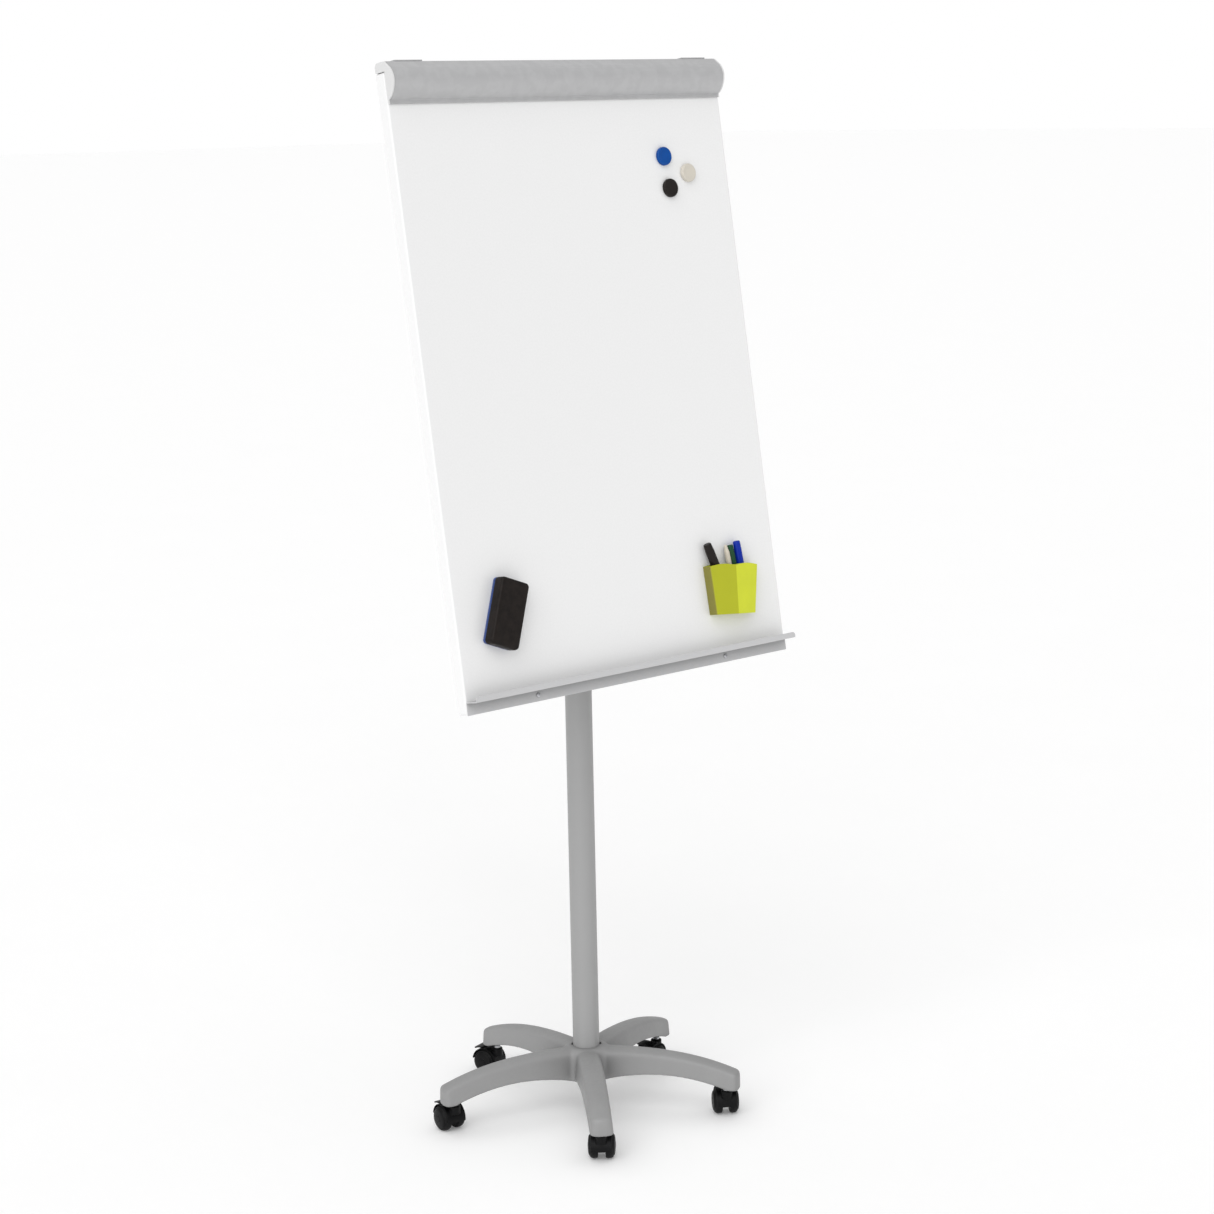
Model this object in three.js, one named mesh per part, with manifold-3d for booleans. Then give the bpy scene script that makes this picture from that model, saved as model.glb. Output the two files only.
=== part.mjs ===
// Mobile flipchart easel: a five-arm star base on twin-wheel castors, a telescopic column,
// a tilting steel writing board with a sprung paper clamp and a pen tray, and loose accessories.
// Millimetres, +Z up. The board's front faces -Y and +X is the viewer's right.

import * as THREE from 'three';
import { mergeVertices } from 'three/addons/utils/BufferGeometryUtils.js';
import Module from 'manifold-3d';

const wasm = await Module();
wasm.setup();

// Clearances
const GAP = 0.3;
const OVERSHOOT = 2;

// Star base
const ARM_COUNT = 5;
const FIRST_ARM_DEG = 18;
const ARM_NAMES = ['right', 'back', 'left', 'front_left', 'front_right'];
const ARM_REACH = 265.5;
const ARM_HALF_WIDTH_HUB = 24;
const ARM_HALF_WIDTH_TIP = 19.5;
const ARM_CREST = 113.5;
const ARM_CREST_DROP = 34;
const ARM_CREST_POWER = 3.2;
const ARM_UNDERSIDE_CROWN = 73.5;
const ARM_UNDERSIDE_RADIUS = 130;
const ARM_UNDERSIDE_CURVE = 0.0016;
const ARM_TIP_UNDERSIDE = 51;
const HUB_UNDERSIDE = 60;
const HUB_TOP = 115;
const HUB_RADIUS = 42;
const HUB_SOCKET_FLOOR = 66;

// Column
const COLUMN_RADIUS = 22.5;
const COLUMN_WALL = 1.9;
const COLUMN_END_PLATE = 6;
const COLUMN_TOP = 880;
const HUB_BOLT_RADIUS = 5;
const INNER_RADIUS = 19;
const INNER_WALL = 1.8;
const INNER_BOTTOM = 460;
const INNER_TOP = 1172;
const COLLAR_RADIUS = 27.5;
const COLLAR_BOTTOM = 850;
const COLLAR_TOP = 888;
const LOCK_HEIGHT = 866;
const LOCK_SCREW_RADIUS = 5;

// Castors
const STEM_REACH = 243;
const CASTOR_HEADING_DEG = { right: 195, back: 106, left: 84, front_left: 46, front_right: 54 };
const STEM_RADIUS = 4;
const STEM_BOTTOM = 26;
const STEM_TOP = 68;
const WHEEL_RADIUS = 21.5;
const WHEEL_INNER_FACE = 6.6;
const WHEEL_OUTER_FACE = 23.2;
const TRAIL = 18;
const HOOD_RADIUS = 24.4;
const HOOD_HALF_WIDTH = 17.5;
const HOUSING_TOP = 46.3;
const LEVER_TOP = 48.3;
const WEB_HALF_WIDTH = 6;
const AXLE_RADIUS = 2.5;

// Tilt head
const PIVOT_HEIGHT = 1200;
const TILT_BOLT_RADIUS = 6;
const YOKE_HALF_WIDTH = 14;
const EAR_INNER = 16;
const EAR_THICKNESS = 5;

// Board, in its own frame: x to the right, y backward from the writing face, z up from the lower edge
const BOARD_TILT_DEG = 9.1;
const BOARD_EDGE_HEIGHT = 772;
const BOARD_EDGE_FORWARD = 141;
const BOARD_WIDTH = 700;
const BOARD_DEPTH = 21;
const PAN_HEIGHT = 993.4;
const SHEET = 1;
const BACK_SHEET = 0.8;
const TRAY_FLANGE = 21.5;
const TRAY_REACH = 28;
const TRAY_LIP_TOP = 29.7;
const TRAY_SHEET = 1.5;
const TRAY_SCREW_X = 206;
const TRAY_SCREW_HEIGHT = 10;
const CLAMP_TOP = 1009;
const CAP_THICKNESS = 3;
const STRAP_WIDTH = 54;
const STRAP_X = 301;
const HINGE_PIN_BACK = 28;
const HINGE_PIN_HEIGHT = 1006;
const RAIL_X = 130;
const RAIL_WIDTH = 25;
const FRAME_DEPTH = 18;

// Loose accessories
const MAGNET_RADIUS = 15.5;
const MAGNET_HEIGHT = 6.5;
const ERASER_WIDTH = 56;
const ERASER_LENGTH = 108;
const ERASER_LEAN_DEG = 21.5;
const HOLDER_TOP_WIDTH = 111;
const HOLDER_BOTTOM_WIDTH = 90;
const HOLDER_HEIGHT = 84;
const HOLDER_SIDE_DEPTH = 18;
const HOLDER_RIDGE_DEPTH = 26;
const HOLDER_WALL = 2;
const HOLDER_LEAN_DEG = 5.4;

const rad = THREE.MathUtils.degToRad;

// Materials

function material(color, roughness, metalness = 0) {
  return new THREE.MeshStandardMaterial({ color, roughness, metalness });
}

const looks = {
  greyPlastic: () => material(0x999999, 0.55),
  columnPaint: () => material(0xa9a9a9, 0.45, 0.1),
  steel: () => material(0xb4b4b4, 0.35, 0.9),
  black: () => material(0x1d1d1e, 0.5),
  whiteLacquer: () => material(0xf0f0f0, 0.3),
  backSheet: () => material(0xd8d8d6, 0.5, 0.1),
  clampGrey: () => material(0xb6b6b6, 0.5, 0.1),
  trayGrey: () => material(0xbcbcbc, 0.45, 0.1),
  whitePlastic: () => material(0xe6e6e6, 0.45),
  blue: () => material(0x0d5096, 0.45),
  cream: () => material(0xcdc6ba, 0.5),
  felt: () => material(0x143778, 0.95),
  lime: () => material(0xc8cc32, 0.5),
  green: () => material(0x1e5032, 0.45),
  markerBlue: () => material(0x002da0, 0.4),
};

// Solids

function toSolid(geometry) {
  const bare = geometry.clone();
  bare.deleteAttribute('normal');
  bare.deleteAttribute('uv');
  const merged = mergeVertices(bare, 1e-4);
  const vertProperties = new Float32Array(merged.attributes.position.array);
  const triVerts = new Uint32Array(merged.index.array);
  return new wasm.Manifold(new wasm.Mesh({ numProp: 3, vertProperties, triVerts }));
}

function toGeometry(solid) {
  const mesh = solid.getMesh();
  const geometry = new THREE.BufferGeometry();
  geometry.setAttribute('position', new THREE.BufferAttribute(mesh.vertProperties, 3));
  geometry.setIndex(new THREE.BufferAttribute(mesh.triVerts, 1));
  geometry.computeVertexNormals();
  return geometry;
}

function join(...geometries) {
  return toGeometry(geometries.map(toSolid).reduce((a, b) => a.add(b)));
}

function cut(geometry, ...tools) {
  return toGeometry(tools.map(toSolid).reduce((a, b) => a.subtract(b), toSolid(geometry)));
}

// Box between two corners.
function block(x0, x1, y0, y1, z0, z1) {
  const geometry = new THREE.BoxGeometry(x1 - x0, y1 - y0, z1 - z0);
  return geometry.translate((x0 + x1) / 2, (y0 + y1) / 2, (z0 + z1) / 2);
}

// Rod along x, y or z between two stations, centred on the other two coordinates.
function rod(axis, radius, from, to, a = 0, b = 0, segments = 20) {
  const geometry = new THREE.CylinderGeometry(radius, radius, to - from, segments);
  const middle = (from + to) / 2;
  if (axis === 'x') return geometry.rotateZ(-Math.PI / 2).translate(middle, a, b);
  if (axis === 'y') return geometry.translate(a, middle, b);
  return geometry.rotateX(Math.PI / 2).translate(a, b, middle);
}

// Body of revolution about z from [radius, height] pairs.
function turned(pairs, segments = 32) {
  const profile = pairs.map(([radius, height]) => new THREE.Vector2(radius, height));
  return new THREE.LatheGeometry(profile, segments).rotateX(Math.PI / 2);
}

function polygon(pairs) {
  return new THREE.Shape(pairs.map(([x, y]) => new THREE.Vector2(x, y)));
}

// Rectangle with round corners, centred on the origin.
function roundedRectangle(width, height, radius) {
  const shape = new THREE.Shape();
  const x = width / 2 - radius;
  const y = height / 2 - radius;
  shape.absarc(x, y, radius, 0, Math.PI / 2);
  shape.absarc(-x, y, radius, Math.PI / 2, Math.PI);
  shape.absarc(-x, -y, radius, Math.PI, 1.5 * Math.PI);
  shape.absarc(x, -y, radius, 1.5 * Math.PI, 2 * Math.PI);
  return shape;
}

// Shape drawn in (x, z), standing upright with its back at y and its front at y - depth.
function upright(shape, y, depth, bevel = 0, curveSegments = 3) {
  const geometry = new THREE.ExtrudeGeometry(shape, {
    depth: depth - 2 * bevel,
    bevelEnabled: bevel > 0,
    bevelThickness: bevel,
    bevelSize: bevel,
    bevelOffset: -bevel,
    bevelSegments: 1,
    curveSegments,
  });
  return geometry.rotateX(Math.PI / 2).translate(0, y - bevel, 0);
}

// Shape drawn in (y, z) and extruded along x between two stations.
function acrossX(shape, x0, x1, curveSegments = 6) {
  const geometry = new THREE.ExtrudeGeometry(shape, {
    depth: x1 - x0,
    bevelEnabled: false,
    curveSegments,
  });
  const turn = new THREE.Matrix4().makeBasis(
    new THREE.Vector3(0, 1, 0),
    new THREE.Vector3(0, 0, 1),
    new THREE.Vector3(1, 0, 0),
  );
  return geometry.applyMatrix4(turn).translate(x0, 0, 0);
}

// Hand knob with rounded lobes, its axis along z, standing from 0 to thickness.
function lobedKnob(radius, thickness, lobes) {
  const shape = new THREE.Shape();
  const points = lobes * 6;
  for (let i = 0; i < points; i++) {
    const angle = (i / points) * 2 * Math.PI;
    const reach = radius - 1.8 + 1.8 * Math.cos(lobes * angle);
    if (i === 0) shape.moveTo(reach, 0);
    else shape.lineTo(reach * Math.cos(angle), reach * Math.sin(angle));
  }
  return new THREE.ExtrudeGeometry(shape, {
    depth: thickness - 3,
    bevelThickness: 1.5,
    bevelSize: 1.5,
    bevelOffset: -1.5,
    bevelSegments: 1,
  }).translate(0, 0, 1.5);
}

function add(group, name, look, geometry) {
  const mesh = new THREE.Mesh(geometry, look());
  mesh.name = name;
  group.add(mesh);
  return mesh;
}

// Star base

function armHalfWidth(reach) {
  const width = THREE.MathUtils.lerp(ARM_HALF_WIDTH_HUB, ARM_HALF_WIDTH_TIP, reach / ARM_REACH);
  const roundFrom = ARM_REACH - 16;
  const toTip = Math.max(0, (reach - roundFrom) / (ARM_REACH - roundFrom));
  return width * Math.sqrt(1 - 0.94 * toTip ** 2.6);
}

function armCrest(reach) {
  const roundFrom = ARM_REACH - 9;
  const toTip = Math.max(0, (reach - roundFrom) / (ARM_REACH - roundFrom));
  return ARM_CREST - ARM_CREST_DROP * Math.pow(reach / ARM_REACH, ARM_CREST_POWER) - 4 * toTip ** 2;
}

function armUnderside(reach) {
  const lift = ARM_UNDERSIDE_CURVE * (reach - ARM_UNDERSIDE_RADIUS) ** 2;
  const floor = reach < ARM_UNDERSIDE_RADIUS ? HUB_UNDERSIDE : ARM_TIP_UNDERSIDE;
  return Math.max(ARM_UNDERSIDE_CROWN - lift, floor);
}

// Unit section of an arm: x from -1 to 1 across, y from 0 at the underside to 1 at the crest.
function armSection() {
  const shape = new THREE.Shape();
  shape.moveTo(-1, 0);
  shape.lineTo(1, 0);
  shape.lineTo(0.9, 0.6);
  shape.quadraticCurveTo(0.74, 1, 0, 1);
  shape.quadraticCurveTo(-0.74, 1, -0.9, 0.6);
  shape.closePath();
  return shape;
}

// One arm lying along +X: a straight extrusion of the unit section, shaped by its reach.
function arm() {
  const geometry = new THREE.ExtrudeGeometry(armSection(), {
    depth: 1,
    steps: 12,
    bevelEnabled: false,
    curveSegments: 3,
  });
  const position = geometry.attributes.position;
  for (let i = 0; i < position.count; i++) {
    const along = position.getZ(i);
    const reach = ARM_REACH * Math.sin(along * Math.PI / 2);
    const across = position.getX(i) * armHalfWidth(reach);
    const low = armUnderside(reach);
    const height = low + position.getY(i) * (armCrest(reach) - low);
    position.setXYZ(i, reach, across, height);
  }
  return geometry;
}

function starBase() {
  const hub = turned([
    [0, HUB_UNDERSIDE],
    [HUB_RADIUS + 2, HUB_UNDERSIDE],
    [HUB_RADIUS, HUB_TOP - 16],
    [HUB_RADIUS - 4, HUB_TOP - 5],
    [HUB_RADIUS - 12, HUB_TOP],
    [0, HUB_TOP],
  ], 30);
  const pieces = [hub];
  const tools = [
    rod('z', COLUMN_RADIUS + GAP, HUB_SOCKET_FLOOR, HUB_TOP + OVERSHOOT, 0, 0, 30),
    rod('z', HUB_BOLT_RADIUS + GAP, HUB_UNDERSIDE - OVERSHOOT, HUB_SOCKET_FLOOR + OVERSHOOT, 0, 0, 16),
  ];
  for (let i = 0; i < ARM_COUNT; i++) {
    const angle = rad(FIRST_ARM_DEG + (360 / ARM_COUNT) * i);
    pieces.push(arm().rotateZ(angle));
    const x = STEM_REACH * Math.cos(angle);
    const y = STEM_REACH * Math.sin(angle);
    tools.push(rod('z', STEM_RADIUS + GAP, ARM_TIP_UNDERSIDE - OVERSHOOT, STEM_TOP + GAP, x, y, 12));
  }
  return cut(join(...pieces), ...tools);
}

function hubBolt() {
  const head = rod('z', 8.5, HUB_UNDERSIDE - 6.3, HUB_UNDERSIDE - GAP, 0, 0, 6);
  const shank = rod('z', HUB_BOLT_RADIUS, HUB_UNDERSIDE - 1, HUB_SOCKET_FLOOR + 10, 0, 0, 16);
  return join(head, shank);
}

// Column and its height lock

function outerColumn() {
  const bottom = HUB_SOCKET_FLOOR + GAP;
  const inside = COLUMN_RADIUS - COLUMN_WALL;
  const tube = turned([
    [HUB_BOLT_RADIUS + GAP, bottom],
    [COLUMN_RADIUS, bottom],
    [COLUMN_RADIUS, COLUMN_TOP],
    [inside, COLUMN_TOP],
    [inside, bottom + COLUMN_END_PLATE],
    [HUB_BOLT_RADIUS + GAP, bottom + COLUMN_END_PLATE],
    [HUB_BOLT_RADIUS + GAP, bottom],
  ], 30);
  return cut(tube, rod('y', LOCK_SCREW_RADIUS + GAP, 0, COLLAR_RADIUS, 0, LOCK_HEIGHT, 14));
}

function heightCollar() {
  const ring = turned([
    [COLUMN_RADIUS + GAP, COLLAR_BOTTOM],
    [COLLAR_RADIUS - 1, COLLAR_BOTTOM],
    [COLLAR_RADIUS, COLLAR_BOTTOM + 1],
    [COLLAR_RADIUS, COLLAR_TOP - 3],
    [COLLAR_RADIUS - 3, COLLAR_TOP],
    [INNER_RADIUS + GAP, COLLAR_TOP],
    [INNER_RADIUS + GAP, COLUMN_TOP + GAP],
    [COLUMN_RADIUS + GAP, COLUMN_TOP + GAP],
    [COLUMN_RADIUS + GAP, COLLAR_BOTTOM],
  ], 30);
  const boss = rod('y', 9.5, COLUMN_RADIUS + 2, COLLAR_RADIUS + 7, 0, LOCK_HEIGHT, 16);
  const bossFloor = rod('z', COLUMN_RADIUS + GAP, COLLAR_BOTTOM - 1, COLUMN_TOP + GAP, 0, 0, 30);
  const hole = rod('y', LOCK_SCREW_RADIUS + GAP, 0, COLLAR_RADIUS + 10, 0, LOCK_HEIGHT, 14);
  return cut(join(ring, boss), bossFloor, hole);
}

function heightKnob() {
  const front = COLLAR_RADIUS + 7 + 1;
  const grip = lobedKnob(23, 16, 6).rotateX(-Math.PI / 2).translate(0, front + 3, LOCK_HEIGHT);
  const neck = rod('y', 9, front, front + 5, 0, LOCK_HEIGHT);
  const screw = rod('y', LOCK_SCREW_RADIUS, INNER_RADIUS + 1, front + 5, 0, LOCK_HEIGHT);
  return join(grip, neck, screw);
}

function innerColumn() {
  const inside = INNER_RADIUS - INNER_WALL;
  return turned([
    [inside, INNER_BOTTOM],
    [INNER_RADIUS, INNER_BOTTOM],
    [INNER_RADIUS, INNER_TOP],
    [inside, INNER_TOP],
    [inside, INNER_BOTTOM],
  ], 28);
}

// Tilt head

function tiltYoke() {
  const floor = INNER_TOP + GAP;
  const cup = turned([
    [INNER_RADIUS + GAP, INNER_TOP - 32],
    [INNER_RADIUS + 4, INNER_TOP - 32],
    [INNER_RADIUS + 4, floor + 3],
    [INNER_RADIUS + 1, floor + 6],
    [0, floor + 6],
    [0, floor],
    [INNER_RADIUS + GAP, floor],
    [INNER_RADIUS + GAP, INNER_TOP - 32],
  ], 28);
  const tab = block(-YOKE_HALF_WIDTH, YOKE_HALF_WIDTH, -15, 15, floor + 2, PIVOT_HEIGHT);
  const tabTop = rod('x', 15, -YOKE_HALF_WIDTH, YOKE_HALF_WIDTH, 0, PIVOT_HEIGHT, 24);
  const hole = rod('x', TILT_BOLT_RADIUS + GAP, -40, 40, 0, PIVOT_HEIGHT);
  return cut(join(cup, tab, tabTop), hole);
}

function tiltBolt() {
  const earOuter = EAR_INNER + EAR_THICKNESS;
  const head = rod('x', 11, -earOuter - 8, -earOuter - 1, 0, PIVOT_HEIGHT, 6);
  const shank = rod('x', TILT_BOLT_RADIUS, -earOuter - 4, earOuter + 14, 0, PIVOT_HEIGHT);
  return join(head, shank);
}

function tiltKnob() {
  const start = EAR_INNER + EAR_THICKNESS + 1;
  const grip = lobedKnob(24, 18, 6).rotateY(Math.PI / 2).translate(start + 4, 0, PIVOT_HEIGHT);
  const neck = rod('x', 11, start, start + 6, 0, PIVOT_HEIGHT);
  const thread = rod('x', TILT_BOLT_RADIUS + GAP, start - 1, start + 14, 0, PIVOT_HEIGHT);
  return cut(join(grip, neck), thread);
}

// Castor, in its own frame: stem on the z axis, axle along x, wheels trailing toward +y

function castorStem() {
  return turned([
    [0, STEM_BOTTOM],
    [STEM_RADIUS, STEM_BOTTOM],
    [STEM_RADIUS, HOUSING_TOP + GAP],
    [6, HOUSING_TOP + GAP],
    [6, ARM_TIP_UNDERSIDE - GAP],
    [STEM_RADIUS, ARM_TIP_UNDERSIDE - GAP],
    [STEM_RADIUS, STEM_TOP],
    [0, STEM_TOP],
  ], 12);
}

// Closed arc band in (y, z) around the axle.
function hoodBand(inner, outer, fromDeg, toDeg) {
  const shape = new THREE.Shape();
  shape.absarc(TRAIL, WHEEL_RADIUS, outer, rad(fromDeg), rad(toDeg), false);
  shape.absarc(TRAIL, WHEEL_RADIUS, inner, rad(toDeg), rad(fromDeg), true);
  shape.closePath();
  return shape;
}

function castorHousing() {
  const cover = hoodBand(WHEEL_RADIUS + 1.4, HOOD_RADIUS, 10, 190);
  const hood = acrossX(cover, -HOOD_HALF_WIDTH, HOOD_HALF_WIDTH, 8);
  const web = acrossX(hoodBand(3, WHEEL_RADIUS + 2, 5, 191), -WEB_HALF_WIDTH, WEB_HALF_WIDTH, 8);
  const hubDisc = rod('x', 12.4, -WEB_HALF_WIDTH, WEB_HALF_WIDTH, TRAIL, WHEEL_RADIUS, 14);
  const boss = rod('z', 9.5, 32, HOUSING_TOP, 0, 0, 12);
  const tools = [
    rod('x', WHEEL_RADIUS + 0.8, WEB_HALF_WIDTH, 30, TRAIL, WHEEL_RADIUS, 20),
    rod('x', WHEEL_RADIUS + 0.8, -30, -WEB_HALF_WIDTH, TRAIL, WHEEL_RADIUS, 20),
    rod('x', AXLE_RADIUS + GAP, -30, 30, TRAIL, WHEEL_RADIUS, 12),
    rod('z', STEM_RADIUS + GAP, STEM_BOTTOM - GAP, 60, 0, 0, 12),
  ];
  return cut(join(hood, web, hubDisc, boss), ...tools);
}

function castorAxle() {
  return rod('x', AXLE_RADIUS, -18, 18, TRAIL, WHEEL_RADIUS, 12);
}

// Wheel on the +x side; the other side is its mirror image.
function castorWheel(side) {
  const bore = AXLE_RADIUS + GAP;
  const wheel = turned([
    [0, WHEEL_OUTER_FACE],
    [14, WHEEL_OUTER_FACE - 0.8],
    [19, WHEEL_OUTER_FACE - 3.8],
    [WHEEL_RADIUS, WHEEL_OUTER_FACE - 8.6],
    [WHEEL_RADIUS, WHEEL_INNER_FACE + 3],
    [WHEEL_RADIUS - 0.9, WHEEL_INNER_FACE],
    [bore, WHEEL_INNER_FACE],
    [bore, 18.5],
    [0, 18.5],
  ].reverse(), 16);
  return wheel.rotateY(side * Math.PI / 2).translate(0, TRAIL, WHEEL_RADIUS);
}

function brakeLever() {
  const plate = polygon([
    [TRAIL + 3, LEVER_TOP - 1.8],
    [TRAIL + 3, LEVER_TOP],
    [TRAIL + 9, LEVER_TOP],
    [TRAIL + 20, LEVER_TOP - 2.7],
    [TRAIL + 20, LEVER_TOP - 4.4],
    [TRAIL + 9, LEVER_TOP - 1.9],
  ]);
  return acrossX(plate, -HOOD_HALF_WIDTH, HOOD_HALF_WIDTH);
}

// Board pieces, in the board's own frame

function boardFace() {
  const behind = BOARD_DEPTH + 6;
  const half = BOARD_WIDTH / 2;
  const outline = roundedRectangle(BOARD_WIDTH, PAN_HEIGHT, 5);
  const inside = roundedRectangle(BOARD_WIDTH - 2 * SHEET, PAN_HEIGHT - 2 * SHEET, 4.4);
  const slab = upright(outline, behind, behind, 3).translate(0, 0, PAN_HEIGHT / 2);
  const pocket = upright(inside, behind, behind - SHEET, 2.6).translate(0, 0, PAN_HEIGHT / 2);
  const tools = [
    block(-half - 1, half + 1, BOARD_DEPTH, behind + 1, -1, PAN_HEIGHT + 1),
    pocket,
  ];
  for (const side of [-1, 1]) {
    tools.push(rod('y', 2.3, -1, SHEET + 1, side * TRAY_SCREW_X, TRAY_SCREW_HEIGHT, 8));
  }
  return cut(slab, ...tools);
}

// Lug beside a clamp hinge strap, which carries the hinge pin.
function hingeLug(x0, x1) {
  const foot = polygon([
    [BOARD_DEPTH - 0.5, 955],
    [BOARD_DEPTH + 3, 955],
    [HINGE_PIN_BACK + 4, HINGE_PIN_HEIGHT - 10],
    [HINGE_PIN_BACK + 4, HINGE_PIN_HEIGHT],
    [HINGE_PIN_BACK - 4, HINGE_PIN_HEIGHT],
    [BOARD_DEPTH + 1.5, 994],
    [BOARD_DEPTH - 0.5, 986],
  ]);
  const eye = rod('x', 4.8, x0, x1, HINGE_PIN_BACK, HINGE_PIN_HEIGHT, 12);
  return join(acrossX(foot, x0, x1), eye);
}

function boardBack() {
  const inset = 2 * (SHEET + GAP);
  const outline = roundedRectangle(BOARD_WIDTH - inset, PAN_HEIGHT - inset, 6);
  const panel = upright(outline, BOARD_DEPTH, BACK_SHEET).translate(0, 0, PAN_HEIGHT / 2);
  const pieces = [panel];
  for (const side of [-1, 1]) {
    const x = side * STRAP_X;
    const reach = STRAP_WIDTH / 2 + GAP;
    pieces.push(hingeLug(x - reach - 3, x - reach));
    pieces.push(hingeLug(x + reach, x + reach + 3));
    pieces.push(rod('x', 2.4, x - reach - 1, x + reach + 1, HINGE_PIN_BACK, HINGE_PIN_HEIGHT, 12));
  }
  return join(...pieces);
}

// Welded channel frame, open toward the board, with two ears that reach back to the tilt bolt.
function backFrame(pivot) {
  const front = BOARD_DEPTH + GAP;
  const back = front + FRAME_DEPTH;
  const skin = 1.5;
  const solids = [];
  const pockets = [];
  const channels = [
    [-RAIL_X - RAIL_WIDTH / 2, -RAIL_X + RAIL_WIDTH / 2, 110, 890],
    [RAIL_X - RAIL_WIDTH / 2, RAIL_X + RAIL_WIDTH / 2, 110, 890],
    [-RAIL_X, RAIL_X, pivot.z - 30, pivot.z + 30],
    [-RAIL_X, RAIL_X, 160, 185],
    [-RAIL_X, RAIL_X, 790, 815],
  ];
  for (const [x0, x1, z0, z1] of channels) {
    solids.push(block(x0, x1, front, back, z0, z1));
    pockets.push(block(x0 + skin, x1 - skin, front - 1, back - skin, z0 + skin, z1 - skin));
  }
  for (const side of [-1, 1]) {
    const inner = side * EAR_INNER;
    const outer = side * (EAR_INNER + EAR_THICKNESS);
    const x0 = Math.min(inner, outer);
    const x1 = Math.max(inner, outer);
    const plate = polygon([
      [back - 1, pivot.z - 28],
      [pivot.y, pivot.z - 15],
      [pivot.y, pivot.z + 15],
      [back - 1, pivot.z + 28],
    ]);
    solids.push(acrossX(plate, x0, x1));
    solids.push(rod('x', 15, x0, x1, pivot.y, pivot.z, 24));
  }
  const bolt = rod('x', TILT_BOLT_RADIUS + GAP, -40, 40, pivot.y, pivot.z);
  return cut(join(...solids), ...pockets, bolt);
}

function penTray() {
  const half = BOARD_WIDTH / 2 - 0.3;
  const profile = polygon([
    [-GAP, 0],
    [-GAP, TRAY_FLANGE],
    [-TRAY_REACH + TRAY_SHEET / 2, TRAY_FLANGE],
    [-TRAY_REACH + TRAY_SHEET / 2, TRAY_FLANGE - TRAY_SHEET],
    [-GAP - TRAY_SHEET, TRAY_FLANGE - TRAY_SHEET],
    [-GAP - TRAY_SHEET, 0],
  ]);
  const lipLow = TRAY_FLANGE - TRAY_SHEET;
  const corner = 5.5;
  const lip = new THREE.Shape();
  lip.moveTo(-half, lipLow);
  lip.lineTo(half, lipLow);
  lip.absarc(half - corner, TRAY_LIP_TOP - corner, corner, 0, Math.PI / 2);
  lip.absarc(corner - half, TRAY_LIP_TOP - corner, corner, Math.PI / 2, Math.PI);
  lip.closePath();
  const lipPlate = upright(lip, -TRAY_REACH + TRAY_SHEET, TRAY_SHEET);
  const holes = [-1, 1].map((side) =>
    rod('y', 2.3, -5, 1, side * TRAY_SCREW_X, TRAY_SCREW_HEIGHT, 8));
  return cut(join(acrossX(profile, -half, half), lipPlate), ...holes);
}

function trayScrew() {
  const seat = -GAP - TRAY_SHEET - 0.2;
  const head = turned([[0, 0], [3.6, 0], [3.6, 0.8], [2.4, 2], [0, 2.3]], 12);
  const shank = rod('z', 1.9, -7, 1, 0, 0, 8);
  const socket = rod('z', 1.1, 1.2, 4, 0, 0, 6);
  return cut(join(head, shank), socket).rotateX(Math.PI / 2).translate(0, seat, TRAY_SCREW_HEIGHT);
}

// Outline of the clamp in (y, z): a bulged front with a paper lip, and a band over the board's top.
function clampOutline() {
  const shape = new THREE.Shape();
  shape.moveTo(17, CLAMP_TOP);
  shape.lineTo(-3, CLAMP_TOP);
  shape.lineTo(-15.5, CLAMP_TOP - 11.5);
  shape.quadraticCurveTo(-22, CLAMP_TOP - 20, -22, CLAMP_TOP - 29);
  shape.quadraticCurveTo(-21.5, CLAMP_TOP - 40, -14, CLAMP_TOP - 50);
  shape.quadraticCurveTo(-9.5, CLAMP_TOP - 56, -3, CLAMP_TOP - 59);
  shape.lineTo(-3, CLAMP_TOP - 65);
  shape.lineTo(-1.2, CLAMP_TOP - 65);
  shape.lineTo(-1.2, PAN_HEIGHT + 0.8);
  shape.lineTo(BOARD_DEPTH, PAN_HEIGHT + 0.8);
  shape.lineTo(BOARD_DEPTH, CLAMP_TOP - 6);
  shape.closePath();
  return shape;
}

function clampBar() {
  const shape = clampOutline();
  const hollow = new THREE.Path();
  hollow.moveTo(-4, CLAMP_TOP - 3.5);
  hollow.lineTo(-14, CLAMP_TOP - 13);
  hollow.quadraticCurveTo(-19.7, CLAMP_TOP - 21, -19.7, CLAMP_TOP - 29);
  hollow.quadraticCurveTo(-19, CLAMP_TOP - 39, -12, CLAMP_TOP - 48.5);
  hollow.lineTo(-4, CLAMP_TOP - 55);
  hollow.closePath();
  shape.holes.push(hollow);
  const half = BOARD_WIDTH / 2 - CAP_THICKNESS - GAP;
  return acrossX(shape, -half, half, 5);
}

function clampCap(side) {
  const inner = BOARD_WIDTH / 2 - CAP_THICKNESS;
  const cap = acrossX(clampOutline(), inner, inner + CAP_THICKNESS, 5);
  return side > 0 ? cap : cap.translate(-2 * inner - CAP_THICKNESS, 0, 0);
}

// Strap that lies on the clamp's top and curls round the hinge pin behind the board.
function clampStrap(side) {
  const low = CLAMP_TOP + GAP;
  const half = STRAP_WIDTH / 2;
  const plate = block(-half, half, -8, HINGE_PIN_BACK, low, low + 2);
  const curl = rod('x', 5.3, -half, half, HINGE_PIN_BACK, HINGE_PIN_HEIGHT, 16);
  const bore = rod('x', 2.7, -half - 1, half + 1, HINGE_PIN_BACK, HINGE_PIN_HEIGHT, 12);
  return cut(join(plate, curl), bore).translate(side * STRAP_X, 0, 0);
}

// Loose accessories, each with its back at y = 0

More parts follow.
